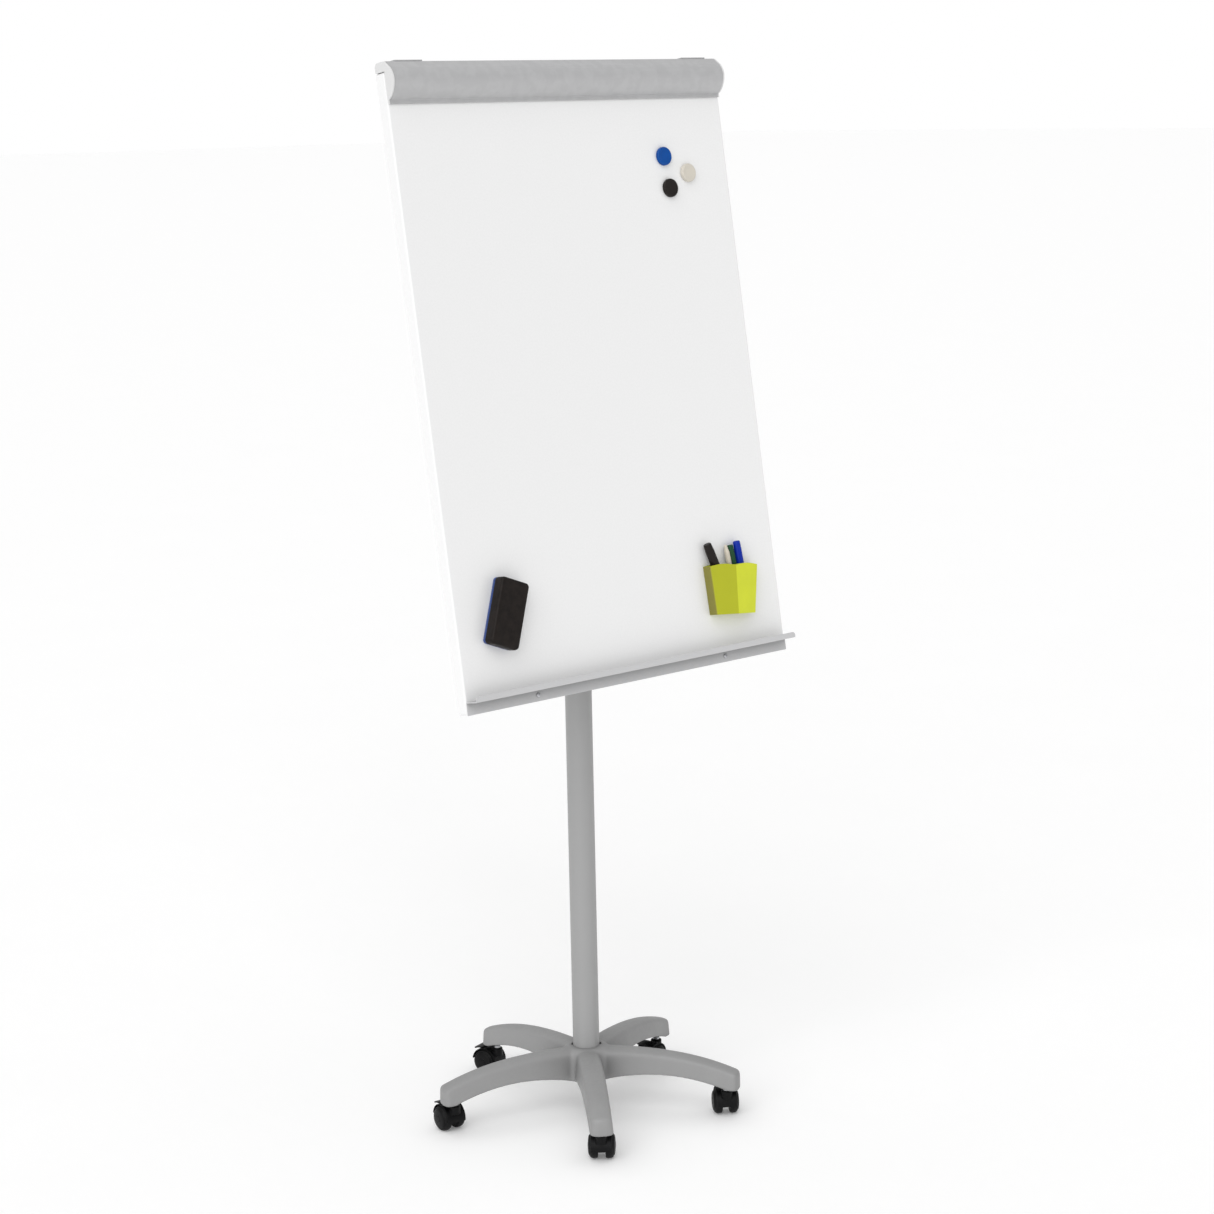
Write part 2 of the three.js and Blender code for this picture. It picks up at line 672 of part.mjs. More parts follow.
function magnet() {
  return turned([
    [0, 0],
    [MAGNET_RADIUS, 0],
    [MAGNET_RADIUS, MAGNET_HEIGHT - 1.5],
    [MAGNET_RADIUS - 1.5, MAGNET_HEIGHT],
    [0, MAGNET_HEIGHT],
  ], 20).rotateX(Math.PI / 2);
}

function eraserFelt() {
  return upright(roundedRectangle(ERASER_WIDTH - 1, ERASER_LENGTH - 1, 6), 0, 5);
}

function eraserBody() {
  return upright(roundedRectangle(ERASER_WIDTH, ERASER_LENGTH, 7), -5 - GAP, 19.7, 2.5);
}

// Holder plan at a height: flat back and sides, front folded to a central ridge.
function holderPlan(width, inset) {
  const half = width / 2 - inset;
  return polygon([
    [-half, -inset],
    [-half, -HOLDER_SIDE_DEPTH + inset],
    [-3, -HOLDER_RIDGE_DEPTH + inset],
    [half, -HOLDER_SIDE_DEPTH + inset],
    [half, -inset],
  ]);
}

// Tapered prism of the plan, narrowing from the top width to the bottom width.
function holderPrism(inset, z0, z1) {
  const geometry = new THREE.ExtrudeGeometry(holderPlan(HOLDER_TOP_WIDTH, inset), {
    depth: z1 - z0,
    bevelEnabled: false,
  }).translate(0, 0, z0);
  const position = geometry.attributes.position;
  const full = HOLDER_TOP_WIDTH / 2 - inset;
  for (let i = 0; i < position.count; i++) {
    const z = position.getZ(i);
    const half = THREE.MathUtils.lerp(HOLDER_BOTTOM_WIDTH, HOLDER_TOP_WIDTH, z / HOLDER_HEIGHT) / 2;
    position.setX(i, position.getX(i) * (half - inset) / full);
  }
  return geometry;
}

// Tool that trims the rim into one low arch over each front facet.
function rimTrim() {
  const shape = new THREE.Shape();
  const edge = HOLDER_TOP_WIDTH / 2 + 5;
  shape.moveTo(-edge, HOLDER_HEIGHT - 3);
  shape.quadraticCurveTo(-edge / 2, HOLDER_HEIGHT + 3, -3, HOLDER_HEIGHT - 2);
  shape.quadraticCurveTo(edge / 2, HOLDER_HEIGHT + 3, edge, HOLDER_HEIGHT - 3);
  shape.lineTo(edge, HOLDER_HEIGHT + 20);
  shape.lineTo(-edge, HOLDER_HEIGHT + 20);
  shape.closePath();
  return upright(shape, 5, 50);
}

function penHolder() {
  const shell = holderPrism(0, 0, HOLDER_HEIGHT + 1);
  return cut(shell, holderPrism(HOLDER_WALL, 3, HOLDER_HEIGHT + 5), rimTrim());
}

// Marker standing on z = 0: barrel, cap and a narrower crown.
function marker(radius, length, crown) {
  return turned([
    [0, 0],
    [radius - 1.5, 0],
    [radius, 2],
    [radius, length - 12],
    [crown, length - 1.5],
    [crown - 1.5, length],
    [0, length],
  ], 14);
}

// Assembly

const easel = new THREE.Group();

function addBase() {
  add(easel, 'star_base', looks.greyPlastic, starBase());
  add(easel, 'hub_bolt', looks.steel, hubBolt());
  add(easel, 'outer_column', looks.columnPaint, outerColumn());
  add(easel, 'height_collar', looks.black, heightCollar());
  add(easel, 'height_knob', looks.black, heightKnob());
}

function addCastor(index) {
  const place = ARM_NAMES[index];
  const angle = rad(FIRST_ARM_DEG + (360 / ARM_COUNT) * index);
  const castor = new THREE.Group();
  castor.position.set(STEM_REACH * Math.cos(angle), STEM_REACH * Math.sin(angle), 0);
  castor.rotation.z = rad(CASTOR_HEADING_DEG[place] - 90);
  add(castor, `castor_stem_${place}`, looks.steel, castorStem());
  add(castor, `castor_housing_${place}`, looks.black, castorHousing());
  add(castor, `castor_axle_${place}`, looks.steel, castorAxle());
  add(castor, `wheel_${place}_a`, looks.black, castorWheel(1));
  add(castor, `wheel_${place}_b`, looks.black, castorWheel(-1));
  add(castor, `brake_lever_${place}`, looks.black, brakeLever());
  easel.add(castor);
}

function addMast() {
  add(easel, 'inner_column', looks.columnPaint, innerColumn());
  add(easel, 'tilt_yoke', looks.black, tiltYoke());
  add(easel, 'tilt_bolt', looks.steel, tiltBolt());
  add(easel, 'tilt_knob', looks.black, tiltKnob());
}

// The tilt bolt's centre seen from the board's own frame.
function pivotOnBoard() {
  const tilt = rad(BOARD_TILT_DEG);
  const y = BOARD_EDGE_FORWARD;
  const z = PIVOT_HEIGHT - BOARD_EDGE_HEIGHT;
  return {
    y: y * Math.cos(tilt) - z * Math.sin(tilt),
    z: y * Math.sin(tilt) + z * Math.cos(tilt),
  };
}

function addLoose(board, name, look, geometry, x, y, z, leanDeg = 0) {
  const mesh = add(board, name, look, geometry);
  mesh.position.set(x, y, z);
  mesh.rotation.y = rad(leanDeg);
}

function addHolder(board) {
  const holder = new THREE.Group();
  holder.position.set(232.5, -GAP, 120);
  holder.rotation.y = rad(HOLDER_LEAN_DEG);
  board.add(holder);
  const low = -HOLDER_HEIGHT / 2;
  addLoose(holder, 'pen_holder', looks.lime, penHolder(), 0, 0, low);
  const floor = low + 7;
  addLoose(holder, 'marker_black', looks.black, marker(7.6, 123.5, 6.6), -0.3, -10.1, floor, -25);
  addLoose(holder, 'marker_cream', looks.cream, marker(4.5, 111.5, 2.6), 13, -9.5, floor, -11.8);
  addLoose(holder, 'marker_green', looks.green, marker(5.5, 111, 5), 23.3, -8, floor, -11.2);
  addLoose(holder, 'marker_blue', looks.markerBlue, marker(6.5, 117, 6), 35.6, -9.8, floor, -9.9);
}

function addBoard() {
  const board = new THREE.Group();
  board.position.set(0, -BOARD_EDGE_FORWARD, BOARD_EDGE_HEIGHT);
  board.rotation.x = -rad(BOARD_TILT_DEG);
  easel.add(board);
  add(board, 'back_frame', looks.columnPaint, backFrame(pivotOnBoard()));
  add(board, 'board_face', looks.whiteLacquer, boardFace());
  add(board, 'board_back', looks.backSheet, boardBack());
  add(board, 'pen_tray', looks.trayGrey, penTray());
  add(board, 'clamp_bar', looks.clampGrey, clampBar());
  for (const [side, place] of [[-1, 'left'], [1, 'right']]) {
    add(board, `tray_screw_${place}`, looks.steel, trayScrew()).position.x = side * TRAY_SCREW_X;
    add(board, `clamp_cap_${place}`, looks.whitePlastic, clampCap(side));
    add(board, `clamp_strap_${place}`, looks.clampGrey, clampStrap(side));
  }
  addLoose(board, 'magnet_blue', looks.blue, magnet(), 205.5, -GAP, 848.3);
  addLoose(board, 'magnet_cream', looks.cream, magnet(), 256, -GAP, 819.3);
  addLoose(board, 'magnet_black', looks.black, magnet(), 211.5, -GAP, 795.6);
  addLoose(board, 'eraser_felt', looks.felt, eraserFelt(), -258, -GAP, 147, ERASER_LEAN_DEG);
  addLoose(board, 'eraser_body', looks.black, eraserBody(), -258, -GAP, 147, ERASER_LEAN_DEG);
  addHolder(board);
}

addBase();
for (let i = 0; i < ARM_COUNT; i++) addCastor(i);
addMast();
addBoard();

// The origin is on the floor, in the middle of the object's footprint box.
const extent = new THREE.Box3().setFromObject(easel, true);
easel.position.set(0, -(extent.min.y + extent.max.y) / 2, -extent.min.z);

export default easel;
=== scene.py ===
"""Looks of the mobile flipchart easel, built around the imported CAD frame.

Helpers and piece builders work in millimetres in a piece's own frame; finish_piece() turns them into metres.
"""

from math import acos, cos, hypot, pi, radians, sin, sqrt, tan

import bmesh
import bpy
import numpy as np
from mathutils import Matrix, Vector, noise


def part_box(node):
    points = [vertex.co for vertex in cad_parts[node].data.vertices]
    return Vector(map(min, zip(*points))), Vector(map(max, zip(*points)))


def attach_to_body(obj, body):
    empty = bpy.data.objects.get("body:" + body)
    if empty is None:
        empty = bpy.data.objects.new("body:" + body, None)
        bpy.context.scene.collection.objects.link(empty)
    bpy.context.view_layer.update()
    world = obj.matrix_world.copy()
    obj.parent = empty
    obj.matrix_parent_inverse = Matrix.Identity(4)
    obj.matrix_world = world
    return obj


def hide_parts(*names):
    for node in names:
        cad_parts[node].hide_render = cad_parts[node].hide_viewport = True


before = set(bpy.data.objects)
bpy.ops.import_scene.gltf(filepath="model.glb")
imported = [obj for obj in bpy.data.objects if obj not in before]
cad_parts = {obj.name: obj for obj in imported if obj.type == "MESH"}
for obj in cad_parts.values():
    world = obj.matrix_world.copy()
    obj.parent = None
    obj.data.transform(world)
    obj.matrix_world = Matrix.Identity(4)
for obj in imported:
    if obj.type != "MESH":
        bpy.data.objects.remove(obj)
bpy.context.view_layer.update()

MM = 0.001
GAP = 0.3
SHARP_DEG = 38
SIDES = ((-1, "left"), (1, "right"))

# Star base
ARM_NAMES = ["right", "back", "left", "front_left", "front_right"]
FIRST_ARM_DEG = 18
ARM_REACH = 265.5
ARM_HALF_WIDTH_HUB = 24
ARM_HALF_WIDTH_TIP = 19.5
ARM_TIP_ROUNDING = 11
ARM_CREST = 113.5
ARM_CREST_DROP = 34
ARM_CREST_POWER = 3.2
ARM_CREST_ROUNDING = 6
ARM_UNDERSIDE_CROWN = 73.5
ARM_UNDERSIDE_RADIUS = 130
ARM_UNDERSIDE_CURVE = 0.0016
ARM_TIP_UNDERSIDE = 51
HUB_TOP = 115
HUB_UNDERSIDE = 60
HUB_RADIUS = 42
HUB_SOCKET_FLOOR = 66
HUB_BOLT_RADIUS = 5
BASE_VOXEL = 1.5
NOTCH_HEADINGS_DEG = (132, 326)

# Column and mast
COLUMN_RADIUS = 22.5
COLUMN_WALL = 1.9
COLUMN_END_PLATE = 6
COLUMN_TOP = 880
INNER_RADIUS = 19
INNER_WALL = 1.8
INNER_BOTTOM = 460
INNER_TOP = 1172
COLLAR_RADIUS = 27.5
COLLAR_BOTTOM = 850
COLLAR_TOP = 888
LOCK_HEIGHT = 866
LOCK_SCREW_RADIUS = 5
PIVOT_HEIGHT = 1200
TILT_BOLT_RADIUS = 6
YOKE_HALF_WIDTH = 14
YOKE_TAB_RADIUS = 15

# Castors
STEM_REACH = 243
STEM_RADIUS = 4
STEM_BOTTOM = 26
STEM_TOP = 68
CASTOR_HEADING_DEG = {"right": 195, "back": 106, "left": 84, "front_left": 46, "front_right": 54}
TRAIL = 18
WHEEL_RADIUS = 21.5
WHEEL_INNER_FACE = 6.6
WHEEL_OUTER_FACE = 23.2
AXLE_RADIUS = 2.5
HOOD_RADIUS = 24.4
HOOD_HALF_WIDTH = 17.5
WEB_HALF_WIDTH = 6
HOUSING_TOP = 46.3
HOUSING_VOXEL = 0.55
LEVER_TOP = 48.3
LEVER_SHEET = 1.8

# Board
BOARD_TILT_DEG = 9.1
BOARD_EDGE_HEIGHT = 772
BOARD_EDGE_FORWARD = 141
BOARD_WIDTH = 700
BOARD_DEPTH = 21
PAN_HEIGHT = 993.4
PAN_BEND = 3.0
SHEET = 1.0
BACK_SHEET = 0.8
RAIL_X = 130
RAIL_WIDTH = 25
RAIL_FOOT = 110
RAIL_TOP = 890
FRAME_DEPTH = 18
EAR_INNER = 16
EAR_THICKNESS = 5
TRAY_FLANGE = 21.5
TRAY_REACH = 28
TRAY_LIP_TOP = 29.7
TRAY_LIP_CORNER = 5.5
TRAY_SHEET = 1.5
TRAY_SCREW_X = 206
TRAY_SCREW_HEIGHT = 10
CLAMP_TOP = 1009
CAP_THICKNESS = 3
STRAP_WIDTH = 54
STRAP_X = 301
STRAP_SHEET = 2.0
PIN_BACK = 28
PIN_HEIGHT = 1006
LUG_RADIUS = 4.8
PIN_RADIUS = 2.4

# Eraser and holder
ERASER_WIDTH = 56
ERASER_LENGTH = 108
HOLDER_TOP_WIDTH = 111
HOLDER_BOTTOM_WIDTH = 90
HOLDER_HEIGHT = 84
HOLDER_SIDE_DEPTH = 18
HOLDER_RIDGE_DEPTH = 26
HOLDER_RIDGE_X = -3
HOLDER_WALL = 2
HOLDER_FLOOR = 3
MARKER_FOOT = 7

# Camera: angles in radians, and its place in metres from the column's axis
CAMERA_YAW, CAMERA_PITCH, CAMERA_ROLL = 0.725367, 0.186047, -0.020411
CAMERA_AT = (-2.8939, -3.3406, 1.7076)
CAMERA_LENS = 80.245

# Brightness of the background as a light and as the camera sees it
WORLD_LIGHT = 0.57
WORLD_SEEN = 1.0

# Frames of reference
column_low, column_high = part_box("outer_column")
AXIS_Y = (column_low.y + column_high.y) / 2
MAST = Matrix.Translation((0, AXIS_Y, 0))
BOARD = (
    Matrix.Translation((0, AXIS_Y - BOARD_EDGE_FORWARD * MM, BOARD_EDGE_HEIGHT * MM))
    @ Matrix.Rotation(-radians(BOARD_TILT_DEG), 4, "X")
)


def placing(x, y, z, lean):
    """A shift in millimetres, then a clockwise lean in degrees."""
    return Matrix.Translation((x * MM, y * MM, z * MM)) @ Matrix.Rotation(radians(lean), 4, "Y")


def on_board(x, y, z, lean=0.0):
    """Frame of a piece on the board's face."""
    return BOARD @ placing(x, y, z, lean)


HOLDER = on_board(232.5, -GAP, 120, 5.4)


# Materials


def srgb(red, green, blue):
    """Linear colour of an 8-bit display colour."""
    values = []
    for value in (red / 255, green / 255, blue / 255):
        values.append(value / 12.92 if value <= 0.04045 else ((value + 0.055) / 1.055) ** 2.4)
    return (*values, 1.0)


def grey(value):
    return srgb(value, value, value)


def scaled(colour, factor):
    return tuple(min(1.0, c * factor) for c in colour[:3]) + (1.0,)


class Look:
    """A node material built from layers of procedural noise."""

    def __init__(self, name, stretch=(1, 1, 1), turn=(0, 0, 0)):
        self.material = bpy.data.materials.new(name)
        self.material.use_nodes = True
        self.tree = self.material.node_tree
        self.shader = self.tree.nodes["Principled BSDF"]
        self.coordinates = self.node("TexCoord").outputs
        self.flat = self.coordinates["Object"]
        angles = tuple(radians(a) for a in turn)
        mapping = self.node("Mapping", {"Scale": stretch, "Rotation": angles, "Vector": self.flat})
        self.stretched = mapping.outputs["Vector"]

    def feed(self, socket, value):
        if isinstance(value, (int, float, tuple)):
            socket.default_value = value
        else:
            self.tree.links.new(value, socket)

    def node(self, kind, inputs=None, **settings):
        made = self.tree.nodes.new("ShaderNode" + kind)
        for name, setting in settings.items():
            setattr(made, name, setting)
        for key, value in (inputs or {}).items():
            self.feed(made.inputs[key], value)
        return made

    def set(self, socket, value):
        self.feed(self.shader.inputs[socket], value)

    def noise(self, scale, detail=2.0, stretched=False, roughness=0.5):
        made = self.node("TexNoise", {"Scale": scale, "Detail": detail, "Roughness": roughness,
                                      "Vector": self.stretched if stretched else self.flat})
        return made.outputs["Fac"]

    def gloss(self, scale, detail, low, high, stretched=False):
        """Roughness that drifts between two values."""
        self.set("Roughness", self.remap(self.noise(scale, detail, stretched), 0.3, 0.7, low, high))

    def cells(self, scale):
        return self.node("TexVoronoi", {"Scale": scale, "Vector": self.flat}).outputs["Distance"]

    def remap(self, value, low, high, to_low=0.0, to_high=1.0):
        made = self.node("MapRange", {"From Min": low, "From Max": high, "To Min": to_low, "To Max": to_high,
                                      "Value": value})
        return made.outputs["Result"]

    def times(self, a, b):
        return self.node("Math", {0: a, 1: b}, operation="MULTIPLY").outputs["Value"]

    def plus(self, a, b):
        return self.node("Math", {0: a, 1: b}, operation="ADD").outputs["Value"]

    def blend(self, factor, a, b):
        return self.node("Mix", {0: factor, 6: a, 7: b}, data_type="RGBA").outputs[2]

    def edges(self):
        """Mask of convex edges, broken up by noise."""
        convex = self.remap(self.node("NewGeometry").outputs["Pointiness"], 0.53, 0.62)
        return self.times(convex, self.remap(self.noise(60.0, 4.0), 0.42, 0.6))

    def painted_shade_mask(self, reach_mm):
        """Painted shade mask: ambient occlusion within a reach, strongest in places shut in by their
        surroundings.
        """
        shut_in = self.node("AmbientOcclusion", {"Distance": reach_mm * MM}, samples=8)
        return self.remap(shut_in.outputs["AO"], 0.25, 0.95, 1.0, 0.0)

    def bump(self, height, depth_mm, under=None):
        inputs = {"Distance": depth_mm * MM, "Height": height}
        if under is not None:
            inputs["Normal"] = under
        return self.node("Bump", inputs).outputs["Normal"]


def layered(name, colour, rough, metal=0.0, mottle=0.05, patch=14.0, grain=900.0, depth=0.02,
            waves=0.0, spread=0.06, wear=0.0, stretch=None, coat=0.0, specular=0.5, painted_shade=0.0, painted_shade_reach=40.0):
    """Common finish: drifting colour, rubbed edges, painted shade in hollows, uneven roughness, fine grain
    and slow ripples.
    """
    brushed = stretch is not None
    look = Look(name, stretch or (1, 1, 1))
    drift = look.remap(look.noise(patch, 4.0, brushed), 0.3, 0.7)
    tint = look.blend(drift, scaled(colour, 1 - mottle), scaled(colour, 1 + mottle))
    if brushed:
        lines = look.remap(look.noise(grain, 3.0, True), 0.3, 0.7)
        tint = look.blend(look.times(lines, 0.35), tint, scaled(colour, 1 + 2.2 * mottle))
    if wear:
        tint = look.blend(look.times(look.edges(), wear), tint, scaled(colour, 1.5))
    # Painted shade: darkens the colour towards 0.3 of itself where ambient occlusion finds hollows.
    if painted_shade:
        tint = look.blend(look.times(look.painted_shade_mask(painted_shade_reach), painted_shade), tint, scaled(colour, 0.3))
    look.set("Base Color", tint)
    look.gloss(patch * 9, 3.0, rough - spread, rough + spread, brushed)
    look.set("Metallic", metal)
    normal = look.bump(look.noise(grain, 2.0, brushed), depth)
    if waves:
        normal = look.bump(look.noise(55.0, 1.0), waves, normal)
    look.set("Normal", normal)
    look.set("Coat Weight", coat)
    look.set("Coat Roughness", 0.15)
    look.set("Specular IOR Level", specular)
    return look.material


def board_lacquer():
    """Gloss writing enamel: even white, its life almost wholly in the gloss and a faint orange peel."""
    look = Look("board_lacquer")
    speckle = look.remap(look.noise(300.0, 3.0), 0.3, 0.7)
    look.set("Base Color", look.blend(speckle, grey(236), grey(239)))
    look.gloss(240.0, 2.0, 0.28, 0.34)
    look.set("Normal", look.bump(look.noise(420.0, 1.0), 0.003))
    look.set("Coat Weight", 0.12)
    look.set("Coat Roughness", 0.14)
    return look.material


def felt_cloth():
    """Pressed wool: crossing fibres, soft sheen."""
    look = Look("eraser_felt", (1, 7, 1), (30, 0, 20))
    fibres = look.noise(1500.0, 6.0, True, 0.75)
    tufts = look.noise(420.0, 5.0, False, 0.7)
    mix = look.remap(look.plus(fibres, tufts), 0.7, 1.3)
    look.set("Base Color", look.blend(mix, srgb(14, 40, 92), srgb(34, 74, 150)))
    look.set("Roughness", 0.95)
    look.set("Sheen Weight", 0.6)
    look.set("Normal", look.bump(fibres, 0.25, look.bump(tufts, 0.35)))
    return look.material


def tyre_rubber():
    """Hard black tread with dust picked up from the floor."""
    look = Look("wheel_tread")
    dust = look.remap(look.noise(130.0, 5.0, False, 0.65), 0.5, 0.72, 0.0, 0.16)
    look.set("Base Color", look.blend(dust, srgb(9, 9, 10), srgb(60, 58, 56)))
    look.set("Specular IOR Level", 0.18)
    look.gloss(320.0, 3.0, 0.42, 0.62)
    look.set("Normal", look.bump(look.noise(1400.0, 2.0), 0.03))
    return look.material


def eraser_plastic():
    """Dark brown-black shell with a pebbled surface."""
    look = Look("eraser_shell")
    drift = look.remap(look.noise(95.0, 5.0, False, 0.6), 0.35, 0.65)
    tint = look.blend(drift, srgb(19, 14, 12), srgb(30, 24, 21))
    look.set("Base Color", look.blend(look.times(look.edges(), 0.25), tint, srgb(62, 56, 50)))
    look.set("Specular IOR Level", 0.18)
    look.gloss(240.0, 3.0, 0.42, 0.6)
    pebbles = look.bump(look.cells(620.0), 0.06)
    look.set("Normal", look.bump(look.noise(110.0, 2.0), 0.12, pebbles))
    return look.material


def holder_plastic():
    """Lime moulding with painted shade: colour set by which way the wall faces, the left front facet painted
    darker than the right and the left side wall painted in olive shade.
    """
    look = Look("holder_lime")
    across = look.node("SeparateXYZ", {"Vector": look.coordinates["Normal"]}).outputs["X"]
    # Painted shade: the left facet gets the darker lime and the right facet the lit one.
    front = look.blend(look.remap(across, -0.08, 0.08), srgb(176, 180, 34), srgb(212, 220, 46))
    # Painted shade: walls that face left are painted dark olive.
    side = look.blend(look.remap(across, -0.95, -0.4, 1.0, 0.0), front, srgb(128, 122, 58))
    drift = look.remap(look.noise(35.0, 4.0), 0.3, 0.7, 0.0, 0.12)
    look.set("Base Color", look.blend(drift, side, srgb(150, 156, 30)))
    look.gloss(300.0, 3.0, 0.4, 0.54)
    look.set("Specular IOR Level", 0.3)
    look.set("Normal", look.bump(look.noise(60.0, 1.0), 0.05, look.bump(look.noise(900.0, 2.0), 0.015)))
    return look.material


# Finish of each slot; small mouldings share a fine grain
SMALL = {"patch": 120, "grain": 1300, "depth": 0.012, "spread": 0.08}
BUTTON = {"patch": 90, "grain": 1500, "depth": 0.012, "spread": 0.08, "waves": 0.03}
LOOKS = {
    # Painted shade in hollows, such as the valleys round the hub, from ambient occlusion within 80 mm.
    "base_grey": layered(
        "base_plastic", grey(144), 0.5, mottle=0.03, patch=16, grain=1100, depth=0.035, waves=0.12,
        spread=0.07, wear=0.2, painted_shade=0.75, painted_shade_reach=80),
    "column_paint": layered(
        "column_powder", grey(156), 0.42, metal=0.1, mottle=0.015, patch=11, grain=760, waves=0.03, wear=0.2),
    "fixings_steel": layered(
        "zinc_steel", srgb(186, 187, 190), 0.32, metal=0.92, mottle=0.09, patch=70, grain=1300, depth=0.012,
        spread=0.1, wear=0.2),
    "black_plastic": layered(
        "black_moulding", srgb(8, 8, 9), 0.42, mottle=0.12, patch=45, grain=1300, waves=0.04, spread=0.09,
        wear=0.3, specular=0.16),
    "board_white": board_lacquer(),
    "back_sheet": layered(
        "back_sheet_paint", srgb(214, 214, 212), 0.46, metal=0.08, mottle=0.02, patch=6, grain=600,
        waves=0.06, spread=0.07),
    "clamp_grey": layered(
        "clamp_aluminium", srgb(180, 180, 181), 0.42, metal=0.2, mottle=0.006, patch=6, depth=0.01,
        spread=0.03, wear=0.2, stretch=(0.02, 1, 1)),
    # Painted shade under the ledge and in the folds, from ambient occlusion within 30 mm.
    "tray_grey": layered(
        "tray_paint", srgb(199, 199, 200), 0.42, metal=0.15, mottle=0.012, patch=9, grain=800, depth=0.012,
        wear=0.25, stretch=(0.03, 1, 1), painted_shade=0.9, painted_shade_reach=30),
    "cap_white": layered(
        "cap_plastic", grey(216), 0.42, mottle=0.012, patch=30, grain=1200, waves=0.03, spread=0.05),
    "magnet_blue": layered(
        "magnet_blue", srgb(0, 72, 150), 0.36, mottle=0.06, wear=0.15, specular=0.2, **BUTTON),
    "magnet_cream": layered("magnet_cream", srgb(208, 202, 190), 0.36, mottle=0.025, **BUTTON),
    "accessory_black": layered(
        "accessory_black", srgb(28, 22, 20), 0.42, mottle=0.1, patch=90, grain=1400, depth=0.015, waves=0.03,
        spread=0.08, wear=0.25, specular=0.22),
    "eraser_shell": eraser_plastic(),
    "eraser_felt": felt_cloth(),
    "holder_lime": holder_plastic(),
    "marker_cream": layered("marker_cream", srgb(206, 198, 182), 0.38, mottle=0.03, **SMALL),
    "marker_green": layered("marker_green", srgb(26, 72, 44), 0.38, mottle=0.06, specular=0.25, **SMALL),
    "marker_blue": layered(
        "marker_blue", srgb(0, 40, 156), 0.36, mottle=0.05, wear=0.1, specular=0.25, **SMALL),
}
TREAD = tyre_rubber()


# Outlines


def fillet(points, radii, steps=5):
    """Closed outline with its corners rounded, one radius per corner or one for all."""
    if isinstance(radii, (int, float)):
        radii = [radii] * len(points)
    outline = []
    for i, (point, radius) in enumerate(zip(points, radii)):
        corner = Vector(point)
        back = Vector(points[i - 1]) - corner
        ahead = Vector(points[(i + 1) % len(points)]) - corner
        if radius <= 0:
            outline.append(tuple(corner))
            continue
        outline.extend(corner_arc(corner, back, ahead, radius, steps))
    return outline


def corner_arc(corner, back, ahead, radius, steps):
    u, w = back.normalized(), ahead.normalized()
    half = acos(max(-1.0, min(1.0, u.dot(w)))) / 2
    reach = min(radius / tan(half), 0.48 * back.length, 0.48 * ahead.length)
    radius = reach * tan(half)
    centre = corner + (u + w).normalized() * (radius / sin(half))
    start, end = corner + u * reach - centre, corner + w * reach - centre
    sweep = pi - 2 * half
    arc = []
    for k in range(steps + 1):
        t = k / steps
        a = sin((1 - t) * sweep) / sin(sweep)
        b = sin(t * sweep) / sin(sweep)
        arc.append(tuple(centre + start * a + end * b))
    return arc


def bow(a, control, b, steps=10):
    """Points of a quadratic curve after its start."""
    points = []
    for k in range(1, steps + 1):
        t = k / steps
        points.append(tuple((1 - t) ** 2 * p + 2 * t * (1 - t) * c + t * t * q
                            for p, c, q in zip(a, control, b)))
    return points


def arc(centre, radius, from_deg, to_deg, steps):
    points = []
    for k in range(steps + 1):
        a = radians(from_deg + (to_deg - from_deg) * k / steps)
        points.append((centre[0] + radius * cos(a), centre[1] + radius * sin(a)))
    return points


def rounded_rectangle(width, height, radius, steps=6):
    x, y = width / 2, height / 2
    return fillet([(x, -y), (x, y), (-x, y), (-x, -y)], radius, steps)


def thicken(path, thickness):
    """Closed outline of a sheet whose middle follows the path."""
    one, other = [], []
    for i, point in enumerate(path):
        here = Vector(point)
        along = Vector(path[min(i + 1, len(path) - 1)]) - Vector(path[max(i - 1, 0)])
        normal = Vector((-along.y, along.x)).normalized() * (thickness / 2)
        one.append(tuple(here + normal))
        other.append(tuple(here - normal))
    return one + other[::-1]


def bent(points, radius, steps=5):
    """Open path with rounded inner corners."""
    path = [points[0]]
    for a, b, c in zip(points, points[1:], points[2:]):
        corner = Vector(b)
        path.extend(corner_arc(corner, Vector(a) - corner, Vector(c) - corner, radius, steps))
    return path + [points[-1]]


# Solids


def add_object(name, data):
    made = bpy.data.objects.new(name, data)
    bpy.context.scene.collection.objects.link(made)
    return made


def as_object(work):
    mesh = bpy.data.meshes.new("work")
    bmesh.ops.recalc_face_normals(work, faces=work.faces[:])
    work.to_mesh(mesh)
    work.free()
    return add_object("work", mesh)


def loft(rings, wrap=False):
    """Closed solid through rings of equal length, capped at the ends unless it wraps round."""
    work = bmesh.new()
    rows = [[work.verts.new(p) for p in ring] for ring in rings]
    pairs = list(zip(rows, rows[1:]))
    if wrap:
        pairs.append((rows[-1], rows[0]))
    for a, b in pairs:
        for i in range(len(a)):
            j = (i + 1) % len(a)
            work.faces.new((a[i], a[j], b[j], b[i]))
    if not wrap:
        work.faces.new(rows[0][::-1])
        work.faces.new(rows[-1])
    return as_object(work)


def placed(axis, a, b, h):
    if axis == "x":
        return (h, a, b)
    return (a, h, b) if axis == "y" else (a, b, h)


def turned(profile, segments=64, axis="z", at=(0, 0), wrap=False, lobes=0, lobe_depth=0.0, lobe_from=0.0):
    """Body of revolution; beyond the radius lobe_from the outline swings in between its lobes."""
    rings = []
    for radius, height in profile:
        ring = []
        for k in range(segments):
            a = 2 * pi * k / segments
            reach = radius
            if lobes and radius > lobe_from:
                share = (radius - lobe_from) / (max(r for r, _ in profile) - lobe_from)
                reach -= lobe_depth * share * (1 - cos(lobes * a)) / 2
            ring.append(placed(axis, at[0] + reach * cos(a), at[1] + reach * sin(a), height))
        rings.append(ring)
    return loft(rings, wrap)


